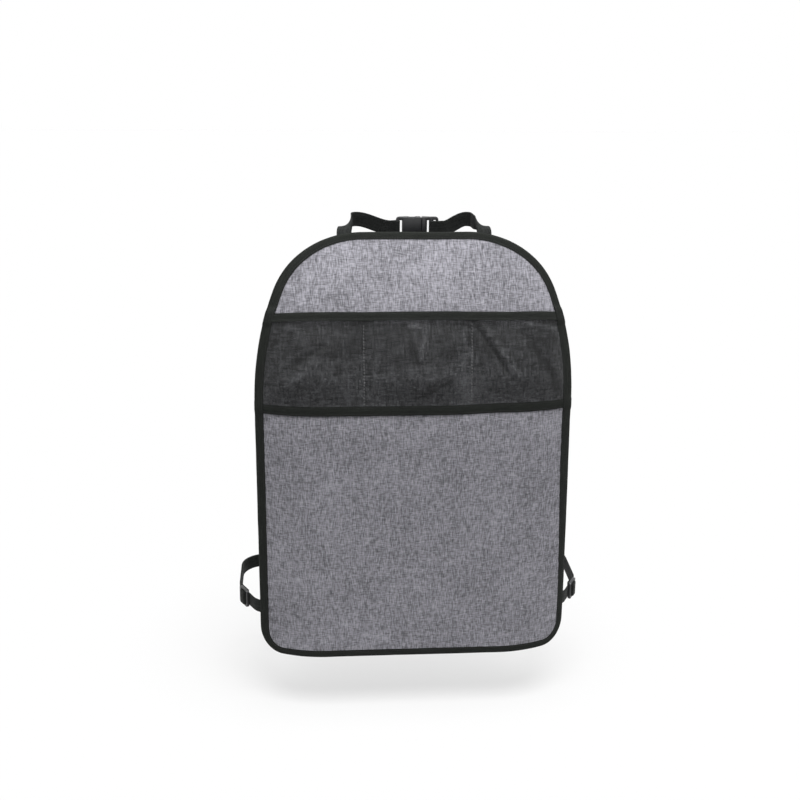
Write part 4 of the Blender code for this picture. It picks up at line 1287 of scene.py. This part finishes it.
# buckles and sliders: the solids with their moulded edges rounded
moulding = {"rounding": 0.0003, "flatter": math.radians(1), "sharper": math.radians(38)}


def mouldedCopy(node, name):
    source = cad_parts[node]
    obj = bpy.data.objects.new(name, source.data.copy())
    bpy.context.scene.collection.objects.link(obj)
    editAll(obj)
    bpy.ops.mesh.remove_doubles(threshold=1e-5)
    bpy.ops.mesh.dissolve_limited(angle_limit=moulding["flatter"])
    closeEdit()
    bevel = obj.modifiers.new("rounding", "BEVEL")
    bevel.width = moulding["rounding"]
    bevel.segments = 2
    bevel.limit_method = "ANGLE"
    bevel.angle_limit = moulding["sharper"]
    bevel.use_clamp_overlap = True
    applyModifier(obj, "rounding")
    dress(obj, looks["plastic"], (node,), angle=40)
    return obj


for node, name in (("top_buckle_socket", "topBuckleSocket"), ("top_buckle_plug", "topBucklePlug"),
                   ("lower_buckle_socket", "lowerBuckleSocket"), ("lower_buckle_plug", "lowerBucklePlug"),
                   ("slider_left", "sliderLeft"), ("slider_right", "sliderRight")):
    mouldedCopy(node, name)
print("buckles and sliders made")

# floor, light and camera
studio = {
    "floorZ": cadBox[0][2] - 0.08,
    "floorSize": 12,
    "floorBack": 2.0,
    "world": 0.26,
    "sun": 2.0,                # on a face square to it, a white card renders at this level
    "height": math.radians(78),
    "side": math.radians(15),
    "soft": math.radians(40),
    "front": 2.4,
    "frontPlace": Vector((0.9, -2.2, 0.5)),
    "frontAim": Vector((0, -0.1, -0.25)),
    "frontSize": 1.2,
    "paper": 0.20,
    "glow": 0.20,              # the share of the floor that the camera sees as plain white
    "white": 1.0,
}


def seenRays(t):
    rays = t.node("ShaderNodeLightPath").outputs
    direct = t.math("MAXIMUM", rays["Is Camera Ray"], rays["Is Glossy Ray"])
    return t.math("MAXIMUM", direct, rays["Is Transmission Ray"])


def makeFloor():
    clearSelection()
    bpy.ops.mesh.primitive_plane_add(size=studio["floorSize"], location=(0, studio["floorBack"], 0))
    floor = bpy.context.object
    floor.name = "studioFloor"
    for vertex in floor.data.vertices:
        vertex.co = floor.matrix_world @ vertex.co + Vector((0, 0, studio["floorZ"]))
    floor.matrix_world = Matrix.Identity(4)
    paper, glow = studio["paper"], studio["glow"]
    finish = {"Base Color": (paper, paper, paper, 1), "Roughness": 0.9, "Specular IOR Level": 0.0}
    material, t, shader = newMaterial("studioPaper", finish)
    lit = (1 - glow) * paper * (studio["world"] + studio["sun"] * math.sin(studio["height"]))
    light = t.fed("ShaderNodeEmission", {"Strength": (studio["white"] - lit) / glow})[0]
    blend = t.fed("ShaderNodeMixShader", (t.times(seenRays(t), glow), shader.outputs[0], light))[0]
    t.link(blend, material.node_tree.nodes["Material Output"].inputs["Surface"])
    floor.data.materials.append(material)


def makeWorld():
    world = bpy.data.worlds.new("studioWorld")
    bpy.context.scene.world = world
    world.use_nodes = True
    t = Tree(world.node_tree)
    background = world.node_tree.nodes["Background"]
    background.inputs["Color"].default_value = (1, 1, 1, 1)
    strength = t.ramp(seenRays(t), 0.0, 1.0, studio["world"], studio["white"])
    t.link(strength, background.inputs["Strength"])


def addLamp(name, kind, place, toLight, energy):
    light = bpy.data.lights.new(name, kind)
    light.energy = energy
    lamp = bpy.data.objects.new(name, light)
    bpy.context.scene.collection.objects.link(lamp)
    lamp.location = place
    lamp.rotation_euler = toLight.to_track_quat("Z", "Y").to_euler()
    return light


def makeLamps():
    level, side = math.cos(studio["height"]), studio["side"]
    toSun = Vector((math.sin(side) * level, -math.cos(side) * level, math.sin(studio["height"])))
    sun = addLamp("overheadSun", "SUN", toSun * 2, toSun, math.pi * studio["sun"])
    sun.angle = studio["soft"]
    place = studio["frontPlace"]
    front = addLamp("frontSoftbox", "AREA", place, place - studio["frontAim"], studio["front"])
    front.size = studio["frontSize"]


photoView = {
    "azimuth": -0.07762,
    "elevation": 0.32229,
    "roll": 0.01195,
    "distance": 1.62325,
    "lens": 53.72,
    "target": Vector((-0.0207, -0.10, -0.22845)),
}


def makeCamera():
    azimuth, elevation, roll = (photoView[key] for key in ("azimuth", "elevation", "roll"))
    back = Vector((math.sin(azimuth) * math.cos(elevation), -math.cos(azimuth) * math.cos(elevation),
                   math.sin(elevation)))
    right = (-back).cross(up).normalized()
    above = back.cross(right)
    turnedRight = right * math.cos(roll) + above * math.sin(roll)
    turnedUp = above * math.cos(roll) - right * math.sin(roll)
    camera = bpy.data.cameras.new("photoCamera")
    camera.lens = photoView["lens"]
    obj = bpy.data.objects.new("photoCamera", camera)
    bpy.context.scene.collection.objects.link(obj)
    place = Matrix.Translation(photoView["target"] + back * photoView["distance"])
    obj.matrix_world = place @ Matrix((turnedRight, turnedUp, back)).transposed().to_4x4()
    bpy.context.scene.camera = obj


makeFloor()
makeWorld()
makeLamps()
makeCamera()
bpy.context.scene.view_settings.view_transform = "Standard"
print("stage ready")
